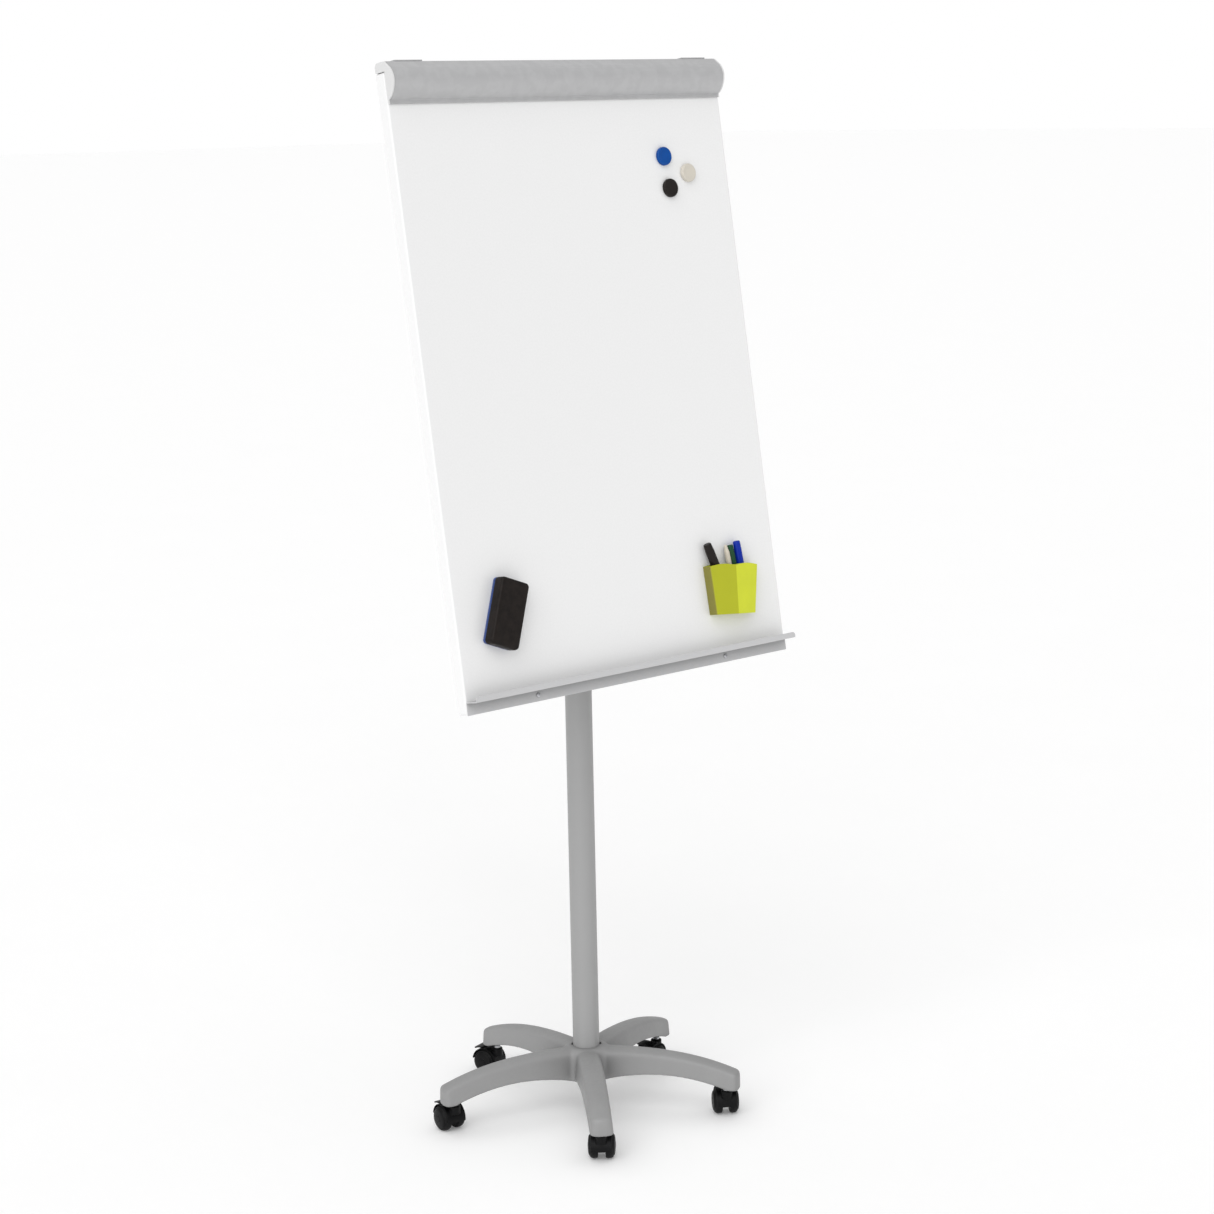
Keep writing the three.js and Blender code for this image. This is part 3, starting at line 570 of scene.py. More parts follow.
def rod(axis, radius, low, high, a=0.0, b=0.0, segments=32):
    return turned([(radius, low), (radius, high)], segments, axis, (a, b))


def extruded(axis, outline, low, high):
    return loft([[placed(axis, u, v, height) for u, v in outline] for height in (low, high)])


def block(x0, x1, y0, y1, z0, z1):
    return extruded("z", [(x0, y0), (x1, y0), (x1, y1), (x0, y1)], z0, z1)


def bake(piece):
    """Applies every modifier of a piece to its mesh."""
    graph = bpy.context.evaluated_depsgraph_get()
    graph.update()
    mesh = bpy.data.meshes.new_from_object(
        piece.evaluated_get(graph), preserve_all_data_layers=True, depsgraph=graph)
    old = piece.data
    piece.modifiers.clear()
    piece.data = mesh
    bpy.data.meshes.remove(old)
    return piece


def modify(piece, kind, **settings):
    """Runs one modifier over a piece."""
    step = piece.modifiers.new(kind, kind)
    for name, setting in settings.items():
        setattr(step, name, setting)
    return bake(piece)


def discard(piece):
    mesh = piece.data
    bpy.data.objects.remove(piece)
    bpy.data.meshes.remove(mesh)


def combine(base, tools, operation):
    for tool in tools:
        step = base.modifiers.new("combine", "BOOLEAN")
        step.operation = operation
        step.solver = "MANIFOLD"
        step.object = tool
    bake(base)
    for tool in tools:
        discard(tool)
    return base


def union(base, *tools):
    return combine(base, tools, "UNION")


def cut(base, *tools):
    return combine(base, tools, "DIFFERENCE")


def soften(piece, width, segments=3, angle=32):
    """Rounds every edge sharper than the angle."""
    return modify(piece, "BEVEL", width=width, segments=segments, limit_method="ANGLE",
                  angle_limit=radians(angle))


def fuse(pieces, voxel):
    """One skin round overlapping solids."""
    work = bmesh.new()
    for piece in pieces:
        work.from_mesh(piece.data)
        discard(piece)
    return modify(as_object(work), "REMESH", mode="VOXEL", voxel_size=voxel)


def relax(piece, rounds, weight=None, shrink_back=True):
    """Evens out a skin; weight(points) gives each point's share of the movement."""
    mesh = piece.data
    points = np.zeros(len(mesh.vertices) * 3)
    mesh.vertices.foreach_get("co", points)
    points = points.reshape(-1, 3)
    links = np.zeros(len(mesh.edges) * 2, int)
    mesh.edges.foreach_get("vertices", links)
    a, b = links.reshape(-1, 2).T
    count = np.bincount(a, minlength=len(points)) + np.bincount(b, minlength=len(points))
    share = np.ones(len(points)) if weight is None else weight(points)
    for k in range(rounds):
        step = -0.53 if shrink_back and k % 2 else 0.5
        mean = np.stack([
            np.bincount(a, points[b, i], len(points)) + np.bincount(b, points[a, i], len(points))
            for i in range(3)
        ], 1) / count[:, None]
        points = points + (step * share)[:, None] * (mean - points)
    mesh.vertices.foreach_set("co", points.ravel())
    mesh.update()
    return piece


def thin(piece, share):
    """Drops the vertices a skin doesn't need, down to a share of its faces."""
    return modify(piece, "DECIMATE", ratio=share)


def smooth_shading(piece, sharp, weighted=True):
    """Smooth faces with sharp creases; weighted normals keep large flats flat beside small bevels."""
    mesh = piece.data
    mesh.polygons.foreach_set("use_smooth", [True] * len(mesh.polygons))
    mesh.set_sharp_from_angle(angle=radians(sharp))
    if weighted:
        modify(piece, "WEIGHTED_NORMAL", keep_sharp=True)


def dress(mesh, slot):
    """Gives a mesh its slot's finish, unless it already has finishes of its own."""
    if not any(mesh.materials):
        mesh.materials.clear()
        mesh.materials.append(LOOKS[slot])


def attach(piece, body, place, stands_for):
    piece.matrix_world = place
    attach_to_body(piece, body)
    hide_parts(stands_for)


def finish_piece(piece, name, slot, body, stands_for, place=MAST, sharp=SHARP_DEG, weighted=True):
    """Scales a piece to metres, gives it its finish and puts it on its body."""
    piece.name = name
    piece.data.transform(Matrix.Scale(MM, 4))
    smooth_shading(piece, sharp, weighted)
    piece.data.name = name
    dress(piece.data, slot)
    attach(piece, body, place, stands_for)


# Star base


def arm_half_width(reach):
    """Half the arm's width: a straight taper, rounded in over the last stretch."""
    to_tip = max(0.0, (reach - ARM_REACH + ARM_TIP_ROUNDING) / ARM_TIP_ROUNDING)
    taper = ARM_HALF_WIDTH_HUB - (ARM_HALF_WIDTH_HUB - ARM_HALF_WIDTH_TIP) * reach / ARM_REACH
    return taper * sqrt(max(0.0, 1 - 0.9 * to_tip ** 3))


def arm_crest(reach):
    to_tip = max(0.0, (reach - ARM_REACH + ARM_CREST_ROUNDING) / ARM_CREST_ROUNDING)
    return ARM_CREST - ARM_CREST_DROP * (reach / ARM_REACH) ** ARM_CREST_POWER - 3 * to_tip ** 2.4


def arm_underside(reach):
    lowest = HUB_UNDERSIDE if reach < ARM_UNDERSIDE_RADIUS else ARM_TIP_UNDERSIDE
    arch = ARM_UNDERSIDE_CURVE * (reach - ARM_UNDERSIDE_RADIUS) ** 2
    return max(ARM_UNDERSIDE_CROWN - arch, lowest)


def arm_section():
    """Unit section: drafted sides, a soft shoulder and a broad ridge."""
    right = [(0.88, 0)] + bow((0.88, 0), (0.99, 0), (0.985, 0.1), 5)
    right += [(0.97, 0.22), (0.94, 0.4), (0.91, 0.6), (0.89, 0.72)]
    right += bow((0.89, 0.72), (0.85, 0.93), (0.62, 0.95), 8)
    right += bow((0.62, 0.95), (0.3, 1.0), (0, 1), 5)
    left = [(-x, z) for x, z in reversed(right[:-1])]
    return right + left


def arm_solid(angle, stations=60):
    """One arm, its sections crowding together towards the tip."""
    rings = []
    for k in range(stations + 1):
        reach = ARM_REACH * sin(k / stations * pi / 2)
        low, high, half = arm_underside(reach), arm_crest(reach), arm_half_width(reach)
        ring = []
        for u, v in arm_section():
            x, y = reach, u * half
            ring.append((x * cos(angle) - y * sin(angle), x * sin(angle) + y * cos(angle),
                         low + v * (high - low)))
        rings.append(ring)
    return loft(rings)


def hub_solid():
    profile = [(HUB_RADIUS + 2, HUB_UNDERSIDE), (HUB_RADIUS, HUB_TOP - 16), (HUB_RADIUS - 4, HUB_TOP - 5),
               (HUB_RADIUS - 12, HUB_TOP), (4, HUB_TOP)]
    return turned([(4, HUB_UNDERSIDE)] + profile, 72)


def near_hub(points):
    """Strong rounding where the arms run into the hub, light elsewhere."""
    reach = np.hypot(points[:, 0], points[:, 1])
    return 0.03 + 0.97 * np.clip((84 - reach) / 34, 0, 1)


def star_base():
    angles = [radians(FIRST_ARM_DEG + 72 * i) for i in range(5)]
    base = fuse([hub_solid()] + [arm_solid(a) for a in angles], BASE_VOXEL)
    relax(base, 26)
    relax(base, 24, near_hub, shrink_back=False)
    thin(base, 0.35)
    tools = [rod("z", COLUMN_RADIUS + 0.35, HUB_SOCKET_FLOOR, HUB_TOP + 4, segments=96)]
    for heading in NOTCH_HEADINGS_DEG:
        notch = block(COLUMN_RADIUS - 1, COLUMN_RADIUS + 3.2, -5.5, 5.5, HUB_TOP - 9, HUB_TOP + 4)
        notch.data.transform(Matrix.Rotation(radians(heading), 4, "Z"))
        tools.append(notch)
    tools.append(rod("z", HUB_BOLT_RADIUS + GAP, HUB_UNDERSIDE - 3, HUB_SOCKET_FLOOR + 1))
    for a in angles:
        tools.append(rod("z", STEM_RADIUS + GAP, 45, STEM_TOP + GAP, STEM_REACH * cos(a),
                         STEM_REACH * sin(a), 24))
    cut(base, *tools)
    finish_piece(base, "star_base_moulding", "base_grey", "base", "star_base", sharp=42, weighted=False)


def hex_outline(radius):
    angles = [radians(60 * k) for k in range(6)]
    return [(radius * cos(a), radius * sin(a)) for a in angles]


def hub_bolt():
    top = HUB_UNDERSIDE - GAP
    head = soften(extruded("z", hex_outline(8.2), top - 6, top - 1.4), 0.6)
    washer = soften(rod("z", 9.4, top - 1.6, top, segments=48), 0.4, 2)
    shank = turned([(HUB_BOLT_RADIUS - 1, HUB_SOCKET_FLOOR + 10), (HUB_BOLT_RADIUS, HUB_SOCKET_FLOOR + 9),
                    (HUB_BOLT_RADIUS, top - 3)], 32)
    finish_piece(union(head, washer, shank), "hub_bolt_steel", "fixings_steel", "base", "hub_bolt")


# Column


def lock_hole():
    return rod("y", LOCK_SCREW_RADIUS + GAP, 0, 40, 0, LOCK_HEIGHT)


def outer_column():
    r, top, bottom = COLUMN_RADIUS, COLUMN_TOP, HUB_SOCKET_FLOOR + GAP
    inside, plate, hole = r - COLUMN_WALL, bottom + COLUMN_END_PLATE, HUB_BOLT_RADIUS + GAP
    profile = [(hole, bottom), (r - 0.8, bottom), (r, bottom + 0.8)]
    profile += [(r, bottom + 40 * k) for k in range(1, 20)]
    profile += [(r, top - 0.6), (r - 0.6, top), (inside + 0.5, top), (inside, top - 0.5), (inside, plate),
                (hole, plate)]
    tube = turned(profile, 96, wrap=True)
    cut(tube, lock_hole())
    finish_piece(tube, "outer_column_tube", "column_paint", "base", "outer_column")


def height_collar():
    """Collar with a shadow groove, a stepped bore and a boss for the lock screw."""
    r, low, top = COLLAR_RADIUS, COLLAR_BOTTOM, COLLAR_TOP
    wide, narrow = COLUMN_RADIUS + GAP, INNER_RADIUS + GAP
    profile = [(wide, low), (r - 1.2, low), (r - 0.4, low + 0.5), (r, low + 1.4), (r, low + 5),
               (r - 0.7, low + 5.6), (r - 0.7, low + 6.6), (r, low + 7.2), (r, top - 4), (r - 0.6, top - 2.2),
               (r - 1.9, top - 0.7), (r - 4, top), (narrow + 0.8, top), (narrow, top - 0.8),
               (narrow, COLUMN_TOP + GAP), (wide, COLUMN_TOP + GAP)]
    ring = turned(profile, 96, wrap=True)
    boss = turned([(9.5, COLUMN_RADIUS + 2), (9.5, r + 6), (8.5, r + 7)], 48, "y", (0, LOCK_HEIGHT))
    cut(boss, rod("z", wide + 0.4, low - 1, COLUMN_TOP, segments=96))
    union(ring, boss)
    cut(ring, lock_hole())
    finish_piece(ring, "height_collar_moulding", "black_plastic", "base", "height_collar")


def knob(axis, radius, thickness, start, neck, neck_radius, at):
    """Six-lobed hand knob on a neck, with a dished face."""
    r, low = radius, start + neck
    high = low + thickness
    grip = [(neck_radius, start), (neck_radius, low), (r - 3, low + 0.05), (r - 1, low + 0.7), (r, low + 2.2),
            (r, (low + high) / 2), (r, high - 3), (r - 0.9, high - 1), (r - 3, high), (r - 7.5, high),
            (r - 8.5, high - 0.9), (r - 10, high - 1.2), (3, high - 0.5)]
    return turned(grip, 120, axis, at, lobes=6, lobe_depth=4.2, lobe_from=neck_radius)


def height_knob():
    start = COLLAR_RADIUS + 8
    grip = knob("y", 23, 16, start, 3, 9, (0, LOCK_HEIGHT))
    screw = rod("y", LOCK_SCREW_RADIUS, INNER_RADIUS + 1, start + 2, 0, LOCK_HEIGHT)
    finish_piece(union(grip, screw), "height_knob_grip", "black_plastic", "height_knob", "height_knob")


def inner_column():
    r, low, top = INNER_RADIUS, INNER_BOTTOM, INNER_TOP
    inside = r - INNER_WALL
    profile = [(inside + 0.4, low), (r - 0.5, low), (r, low + 0.5)]
    profile += [(r, low + 60 * k) for k in range(1, 12)]
    profile += [(r, top - 0.5), (r - 0.5, top), (inside, top), (inside, low + 0.5)]
    finish_piece(turned(profile, 80, wrap=True), "inner_column_tube", "column_paint", "mast", "inner_column")


def tilt_yoke():
    """Cup over the inner column's top, with an upright tab that the tilt bolt passes through."""
    floor, r = INNER_TOP + GAP, INNER_RADIUS
    profile = [(r + GAP, INNER_TOP - 32), (r + 3.2, INNER_TOP - 32), (r + 4, INNER_TOP - 31.2),
               (r + 4, floor + 2), (r + 3.4, floor + 4), (r + 2, floor + 5.5), (r, floor + 6), (3, floor + 6),
               (3, floor), (r + GAP, floor)]
    cup = turned(profile, 80, wrap=True)
    plug = rod("z", 4, floor, floor + 6, segments=32)
    side = [(-YOKE_TAB_RADIUS, floor + 2), (YOKE_TAB_RADIUS, floor + 2)]
    side += arc((0, PIVOT_HEIGHT), YOKE_TAB_RADIUS, 0, 180, 28)
    tab = soften(extruded("x", side, -YOKE_HALF_WIDTH, YOKE_HALF_WIDTH), 1.2)
    union(cup, plug, tab)
    cut(cup, rod("x", TILT_BOLT_RADIUS + GAP, -40, 40, 0, PIVOT_HEIGHT, 40))
    finish_piece(cup, "tilt_yoke_casting", "black_plastic", "mast", "tilt_yoke")


def tilt_bolt():
    head = soften(extruded("x", [(y, PIVOT_HEIGHT + z) for y, z in hex_outline(10.6)], -28.6, -23.4), 0.7)
    washer = soften(rod("x", 11.8, -23.6, -22, 0, PIVOT_HEIGHT, 48), 0.4, 2)
    shank = turned([(TILT_BOLT_RADIUS, -24), (TILT_BOLT_RADIUS, 34), (TILT_BOLT_RADIUS - 1, 35)], 40, "x",
                   (0, PIVOT_HEIGHT))
    finish_piece(union(head, washer, shank), "tilt_bolt_steel", "fixings_steel", "mast", "tilt_bolt")


def tilt_knob():
    grip = knob("x", 24, 18, 22, 4, 11, (0, PIVOT_HEIGHT))
    cut(grip, rod("x", TILT_BOLT_RADIUS + GAP, 20, 36, 0, PIVOT_HEIGHT, 40))
    finish_piece(grip, "tilt_knob_grip", "black_plastic", "tilt_knob", "tilt_knob")


# Castors


def castor_place(index):
    angle = radians(FIRST_ARM_DEG + 72 * index)
    heading = radians(CASTOR_HEADING_DEG[ARM_NAMES[index]] - 90)
    at = (STEM_REACH * MM * cos(angle), STEM_REACH * MM * sin(angle) + AXIS_Y, 0)
    return Matrix.Translation(at) @ Matrix.Rotation(heading, 4, "Z")


def stem_shape():
    """Pin with chamfered ends and a collar that carries the arm."""
    r, low, collar = STEM_RADIUS, HOUSING_TOP + GAP, 50.7
    profile = [(r - 0.8, STEM_BOTTOM), (r, STEM_BOTTOM + 0.8), (r, low), (5.6, low), (6, low + 0.4),
               (6, collar - 0.4), (5.6, collar), (r, collar), (r, STEM_TOP - 1), (r - 0.8, STEM_TOP)]
    return turned(profile, 36)


def hood_arc(inner, outer, low_deg, high_deg, steps=26):
    centre = (TRAIL, WHEEL_RADIUS)
    return arc(centre, outer, low_deg, high_deg, steps) + arc(centre, inner, high_deg, low_deg, steps)


def housing_shape():
    """Hood over both wheels, web between them, disc round the axle and boss round the stem."""
    half, web_half = HOOD_HALF_WIDTH, WEB_HALF_WIDTH
    cover = extruded("x", hood_arc(WHEEL_RADIUS + 1.3, HOOD_RADIUS + 0.1, 8, 190), -half, half)
    web = extruded("x", hood_arc(3, WHEEL_RADIUS + 2, 4, 191), -web_half, web_half)
    disc = rod("x", 12.4, -web_half, web_half, TRAIL, WHEEL_RADIUS, 48)
    boss = turned([(9.6, 32), (9.6, 45), (8.6, HOUSING_TOP)], 40)
    skin = relax(fuse([cover, web, disc, boss], HOUSING_VOXEL), 10)
    cut(skin, rod("x", AXLE_RADIUS + GAP, -30, 30, TRAIL, WHEEL_RADIUS),
        rod("z", STEM_RADIUS + GAP, STEM_BOTTOM - GAP, 60))
    return thin(skin, 0.45)


def wheel_shape(side):
    """Crowned tyre round a domed disc with a small hub cap."""
    inner, outer, bore = WHEEL_INNER_FACE, WHEEL_OUTER_FACE, AXLE_RADIUS + GAP
    profile = [(bore, inner), (19.0, inner)]
    profile += bow((19.0, inner), (20.9, inner), (21.3, inner + 2.2), 5)
    profile += bow((21.3, inner + 2.2), (21.5, inner + 4), (21.5, 13), 3)
    profile += bow((21.5, 13), (21.4, 17.2), (19.1, 19.2), 8)
    profile += [(18.5, 19.5), (18.0, 19.0), (17.6, 19.1), (17.2, 19.9)]
    profile += bow((17.2, 19.9), (16.4, 21.4), (14.0, 21.9), 5)
    profile += bow((14.0, 21.9), (10, 22.6), (6.4, outer - 0.4), 5)
    profile += [(6.0, outer - 0.9), (5.6, outer - 0.9), (5.2, outer - 0.3), (4.2, outer - 0.1), (1.6, outer)]
    wheel = turned([(radius, side * h) for radius, h in profile], 72, "x", (TRAIL, WHEEL_RADIUS))
    cut(wheel, rod("x", bore, min(0, side * 18.5), max(0, side * 18.5), TRAIL, WHEEL_RADIUS, 24))
    mesh = wheel.data
    mesh.materials.clear()
    mesh.materials.append(TREAD)
    mesh.materials.append(LOOKS["black_plastic"])
    for polygon in mesh.polygons:
        centre = polygon.center
        reach = hypot(centre.y - TRAIL, centre.z - WHEEL_RADIUS)
        on_disc = reach < 17.9 and abs(centre.x) > 12
        polygon.material_index = int(on_disc)
    return wheel


def axle_shape():
    r, end = AXLE_RADIUS, 18
    profile = [(r - 0.4, -end), (r, 0.4 - end), (r, end - 0.4), (r - 0.4, end)]
    return turned(profile, 24, "x", (TRAIL, WHEEL_RADIUS))


def lever_shape():
    """Pressed tread plate with rounded corners and a turned-down end."""
    top, half, middle = LEVER_TOP, HOOD_HALF_WIDTH, TRAIL + 11.5
    path = [(TRAIL + y, top - drop) for y, drop in ((3, 0.9), (8.6, 0.9), (14, 1.9), (20, 3.5))]
    section = thicken(bent(path, 6, 4), LEVER_SHEET)
    stations = [(-half, 2.2), (-half + 0.5, 1.1), (-half + 1.3, 0.4), (-half + 2.4, 0)]
    stations += [(-x, pull) for x, pull in reversed(stations)]
    rings = [[(x, middle + (y - middle) * (1 - pull / 8.5), z) for y, z in section] for x, pull in stations]
    return soften(loft(rings), 0.35, 2, 50)


def castors():
    """Five castors that share the meshes of their six parts."""
    steel, black = "fixings_steel", "black_plastic"
    parts = [
        (stem_shape(), "castor_stem_mesh", steel, "stem_{}", "base", "castor_stem_{}"),
        (housing_shape(), "castor_housing_mesh", black, "housing_{}", "castor_{}", "castor_housing_{}"),
        (axle_shape(), "castor_axle_mesh", steel, "axle_{}", "castor_{}", "castor_axle_{}"),
        (wheel_shape(1), "castor_wheel_a_mesh", black, "tyre_{}_a", "wheel_{}_a", "wheel_{}_a"),
        (wheel_shape(-1), "castor_wheel_b_mesh", black, "tyre_{}_b", "wheel_{}_b", "wheel_{}_b"),
        (lever_shape(), "brake_lever_mesh", black, "lever_{}", "brake_{}", "brake_lever_{}"),
    ]
    for shape, mesh_name, slot, name, body, stands_for in parts:
        shape.data.transform(Matrix.Scale(MM, 4))
        smooth_shading(shape, SHARP_DEG)
        mesh = shape.data
        mesh.name = mesh_name
        dress(mesh, slot)
        bpy.data.objects.remove(shape)
        for index, arm in enumerate(ARM_NAMES):
            piece = add_object(name.format(arm), mesh)
            attach(piece, body.format(arm), castor_place(index), stands_for.format(arm))


# Board


def pan_ring(inset, y, corner):
    outline = rounded_rectangle(BOARD_WIDTH - 2 * inset, PAN_HEIGHT - 2 * inset, corner, 8)
    return [(x, y, z + PAN_HEIGHT / 2) for x, z in outline]


def quarter_bend(radius, steps, shift=0.0):
    """Points of a quarter circle from the side of a fold to its face."""
    turns = [radians(90 * k / steps) for k in range(steps + 1)]
    return [(shift + radius * (1 - cos(a)), shift + radius * (1 - sin(a))) for a in turns]


def board_face():
    """Pan of folded sheet: flat face, rolled edge, straight sides and an open back."""
    outer, inner = 5.0, 4.0
    rings = [pan_ring(inset, y, inner) for inset, y in quarter_bend(PAN_BEND - SHEET, 4, SHEET)][::-1]
    rings += [pan_ring(SHEET, BOARD_DEPTH, inner), pan_ring(0.15, BOARD_DEPTH, 4.9),
              pan_ring(0, BOARD_DEPTH - 0.2, outer), pan_ring(0, 12, outer)]
    rings += [pan_ring(inset, y, outer) for inset, y in quarter_bend(PAN_BEND, 8)]
    rings += [pan_ring(PAN_BEND + 3, 0, outer), pan_ring(40, 0, outer)]
    finish_piece(loft(rings), "board_face_pan", "board_white", "board", "board_face", BOARD, 40)


def hinge_lug(x0, x1):
    y, z, r, front = PIN_BACK, PIN_HEIGHT, LUG_RADIUS, BOARD_DEPTH
    foot = fillet([(front - 0.5, 955), (front + 3, 955), (y + r, z - 10), (y + r, z), (y, z + 2), (y - r, z),
                   (front + 1.5, 994), (front - 0.5, 986)], [0, 0.8, 6, 0, 0, 0, 3, 0])
    eye = rod("x", r, x0, x1, y, z, 36)
    return union(extruded("x", foot, x0, x1), eye)


def board_back():
    """Flat sheet inside the pan, with two lugs and a pin for each strap of the clamp."""
    inset = 2 * (SHEET + GAP)
    outline = rounded_rectangle(BOARD_WIDTH - inset, PAN_HEIGHT - inset, 6, 6)
    upright = [(x, z + PAN_HEIGHT / 2) for x, z in outline]
    panel = extruded("y", upright, BOARD_DEPTH - BACK_SHEET, BOARD_DEPTH)
    tools = []
    for side in (-1, 1):
        x, reach = side * STRAP_X, STRAP_WIDTH / 2 + GAP
        tools.append(hinge_lug(x - reach - 3, x - reach))
        tools.append(hinge_lug(x + reach, x + reach + 3))
        tools.append(rod("x", PIN_RADIUS, x - reach - 1, x + reach + 1, PIN_BACK, PIN_HEIGHT, 28))
    union(panel, *tools)
    finish_piece(soften(panel, 0.3, 2, 50), "board_back_panel", "back_sheet", "board", "board_back", BOARD)


def pivot_on_board():
    """The tilt bolt's place in the board's own frame."""
    tilt = radians(BOARD_TILT_DEG)
    y, z = BOARD_EDGE_FORWARD, PIVOT_HEIGHT - BOARD_EDGE_HEIGHT
    return y * cos(tilt) - z * sin(tilt), y * sin(tilt) + z * cos(tilt)


def back_frame():
    """Channel frame welded from five bars, with two ears for the tilt bolt."""
    front = BOARD_DEPTH + GAP
    back = front + FRAME_DEPTH
    py, pz = pivot_on_board()
    solids = []
    for x in (-RAIL_X, RAIL_X):
        x0, x1 = x - RAIL_WIDTH / 2, x + RAIL_WIDTH / 2
        outline = fillet([(x0, front), (x1, front), (x1, back), (x0, back)], [0, 0, 2.2, 2.2], 5)
        solids.append(soften(extruded("z", outline, RAIL_FOOT, RAIL_TOP), 0.6, 2, 50))
    inner = RAIL_X - RAIL_WIDTH / 2 + 1
    for z0, z1 in ((pz - 30, pz + 30), (160, 185), (790, 815)):
        outline = fillet([(front + 0.01, z0), (front + 0.01, z1), (back - 0.6, z1), (back - 0.6, z0)],
                         [0, 0, 2.2, 2.2], 5)
        solids.append(extruded("x", outline, -inner, inner))
    ear = fillet([(back - 2, pz - 28), (back + 3, pz - 27), (py, pz - 15)], [0, 3, 0])
    ear += arc((py, pz), 15, -90, 90, 24)
    ear += fillet([(py, pz + 15), (back + 3, pz + 27), (back - 2, pz + 28)], [0, 3, 0])
    for side in (-1, 1):
        x0, x1 = sorted((side * EAR_INNER, side * (EAR_INNER + EAR_THICKNESS)))
        solids.append(soften(extruded("x", ear, x0, x1), 0.6, 2, 50))
    frame_piece = union(solids[0], *solids[1:])
    cut(frame_piece, rod("x", TILT_BOLT_RADIUS + GAP, -40, 40, py, pz, 40))
    finish_piece(frame_piece, "back_frame_weldment", "column_paint", "board", "back_frame", BOARD)


def pen_tray():
    """Folded tray: screwed flange, narrow ledge and a lip with rounded ends."""
    half = BOARD_WIDTH / 2 - GAP
    corner = [(half - inward, TRAY_LIP_TOP - drop) for inward, drop in quarter_bend(TRAY_LIP_CORNER, 8)]
    stations = corner + [(half * (1 - 2 * k / 24), TRAY_LIP_TOP) for k in range(2, 23)]
    stations += [(-x, top) for x, top in reversed(corner)]
    flange, ledge, lip = -GAP - TRAY_SHEET / 2, TRAY_FLANGE - TRAY_SHEET / 2, TRAY_SHEET / 2 - TRAY_REACH
    rings = []
    for x, top in stations:
        path = bent([(flange, 0), (flange, ledge), (lip, ledge), (lip, top)], 2.0, 6)
        rings.append([(x, y, z) for y, z in thicken(path, TRAY_SHEET)])
    tray = soften(loft(rings), 0.3, 2, 50)
    for side in (-1, 1):
        cut(tray, rod("y", 2.3, -5, 1, side * TRAY_SCREW_X, TRAY_SCREW_HEIGHT, 28))
    finish_piece(tray, "pen_tray_sheet", "tray_grey", "board", "pen_tray", BOARD)


def tray_screws():
    profile = [(1.7, 7), (1.9, 6.6), (1.9, 0), (3.4, 0), (3.6, -0.25), (3.55, -0.8), (3.1, -1.5), (2.2, -2.1),
               (1.0, -2.3)]
    for side, place in SIDES:
        screw = turned(profile, 40, "y")
        cut(screw, extruded("y", hex_outline(1.35), -4, -1.1))
        at = on_board(side * TRAY_SCREW_X, -GAP - 1.7, TRAY_SCREW_HEIGHT, 12 * side)
        finish_piece(screw, f"tray_screw_{place}_head", "fixings_steel", "board", f"tray_screw_{place}", at)


def clamp_outline():
    """Section of the clamp: band over the board's top, bulged front, paper lip."""
    t, foot = CLAMP_TOP, PAN_HEIGHT + 0.25
    points = [(17, t), (-3, t), (-15.5, t - 11.5)]
    radii = [3, 3, 1.6]
    bulge = bow((-15.5, t - 11.5), (-22, t - 20), (-22, t - 29), 8)
    bulge += bow((-22, t - 29), (-21.5, t - 40), (-14, t - 50), 8)
    bulge += bow((-14, t - 50), (-9.5, t - 56), (-3, t - 59), 6)
    points += bulge
    radii += [0] * (len(bulge) - 1) + [1.2]
    points += [(-3, t - 65), (-1.2, t - 65), (-1.2, foot), (BOARD_DEPTH, foot), (BOARD_DEPTH, t - 6)]
    radii += [0.6, 0.6, 0.8, 0.8, 3]
    return fillet(points, radii, 4)


def clamp_hollow():
    t = CLAMP_TOP
    points = [(-4, t - 3.5), (-14, t - 13)]
    points += bow((-14, t - 13), (-19.7, t - 21), (-19.7, t - 29), 7)
    points += bow((-19.7, t - 29), (-19, t - 39), (-12, t - 48.5), 7)
    return points + [(-4, t - 55)]


def clamp():
    """Bar, its two end caps and the two straps that curl round the hinge pins."""
    inner = BOARD_WIDTH / 2 - CAP_THICKNESS
    half, low, wide = inner - GAP, CLAMP_TOP + GAP + STRAP_SHEET / 2, STRAP_WIDTH / 2
    bar = extruded("x", clamp_outline(), -half, half)
    cut(bar, extruded("x", clamp_hollow(), -half - 1, half + 1))
    finish_piece(bar, "clamp_bar_extrusion", "clamp_grey", "clamp", "clamp_bar", BOARD, 30)
    path = [(-1.8, low), (10, low)] + arc((PIN_BACK, PIN_HEIGHT), low - PIN_HEIGHT, 90, -190, 30)
    for side, place in SIDES:
        x0, x1 = sorted((side * inner, side * (inner + CAP_THICKNESS)))
        cap = soften(extruded("x", clamp_outline(), x0, x1), 0.5, 3, 50)
        finish_piece(cap, f"clamp_cap_{place}_moulding", "cap_white", "clamp", f"clamp_cap_{place}", BOARD)
        strap = extruded("x", thicken(path, STRAP_SHEET), side * STRAP_X - wide, side * STRAP_X + wide)
        finish_piece(soften(strap, 0.5, 2, 50), f"clamp_strap_{place}_plate", "clamp_grey", "clamp",
                     f"clamp_strap_{place}", BOARD)


# Loose accessories


def magnets():
    """Round buttons with a rolled rim and a slightly dished face."""
    profile = [(14.6, 0), (15.2, -0.4), (15.5, -1.0), (15.3, -4.4), (14.9, -5.6), (14.0, -6.3), (12.6, -6.5),
               (11.6, -6.35), (10.8, -6.1), (6.0, -6.15), (2.0, -6.2)]
    spots = [("blue", 205.5, 848.3, "magnet_blue"), ("cream", 256, 819.3, "magnet_cream"),
             ("black", 211.5, 795.6, "accessory_black")]
    for colour, x, z, slot in spots:
        node = f"magnet_{colour}"
        finish_piece(turned(profile, 72, "y"), f"{node}_button", slot, node, node, on_board(x, -GAP, z))


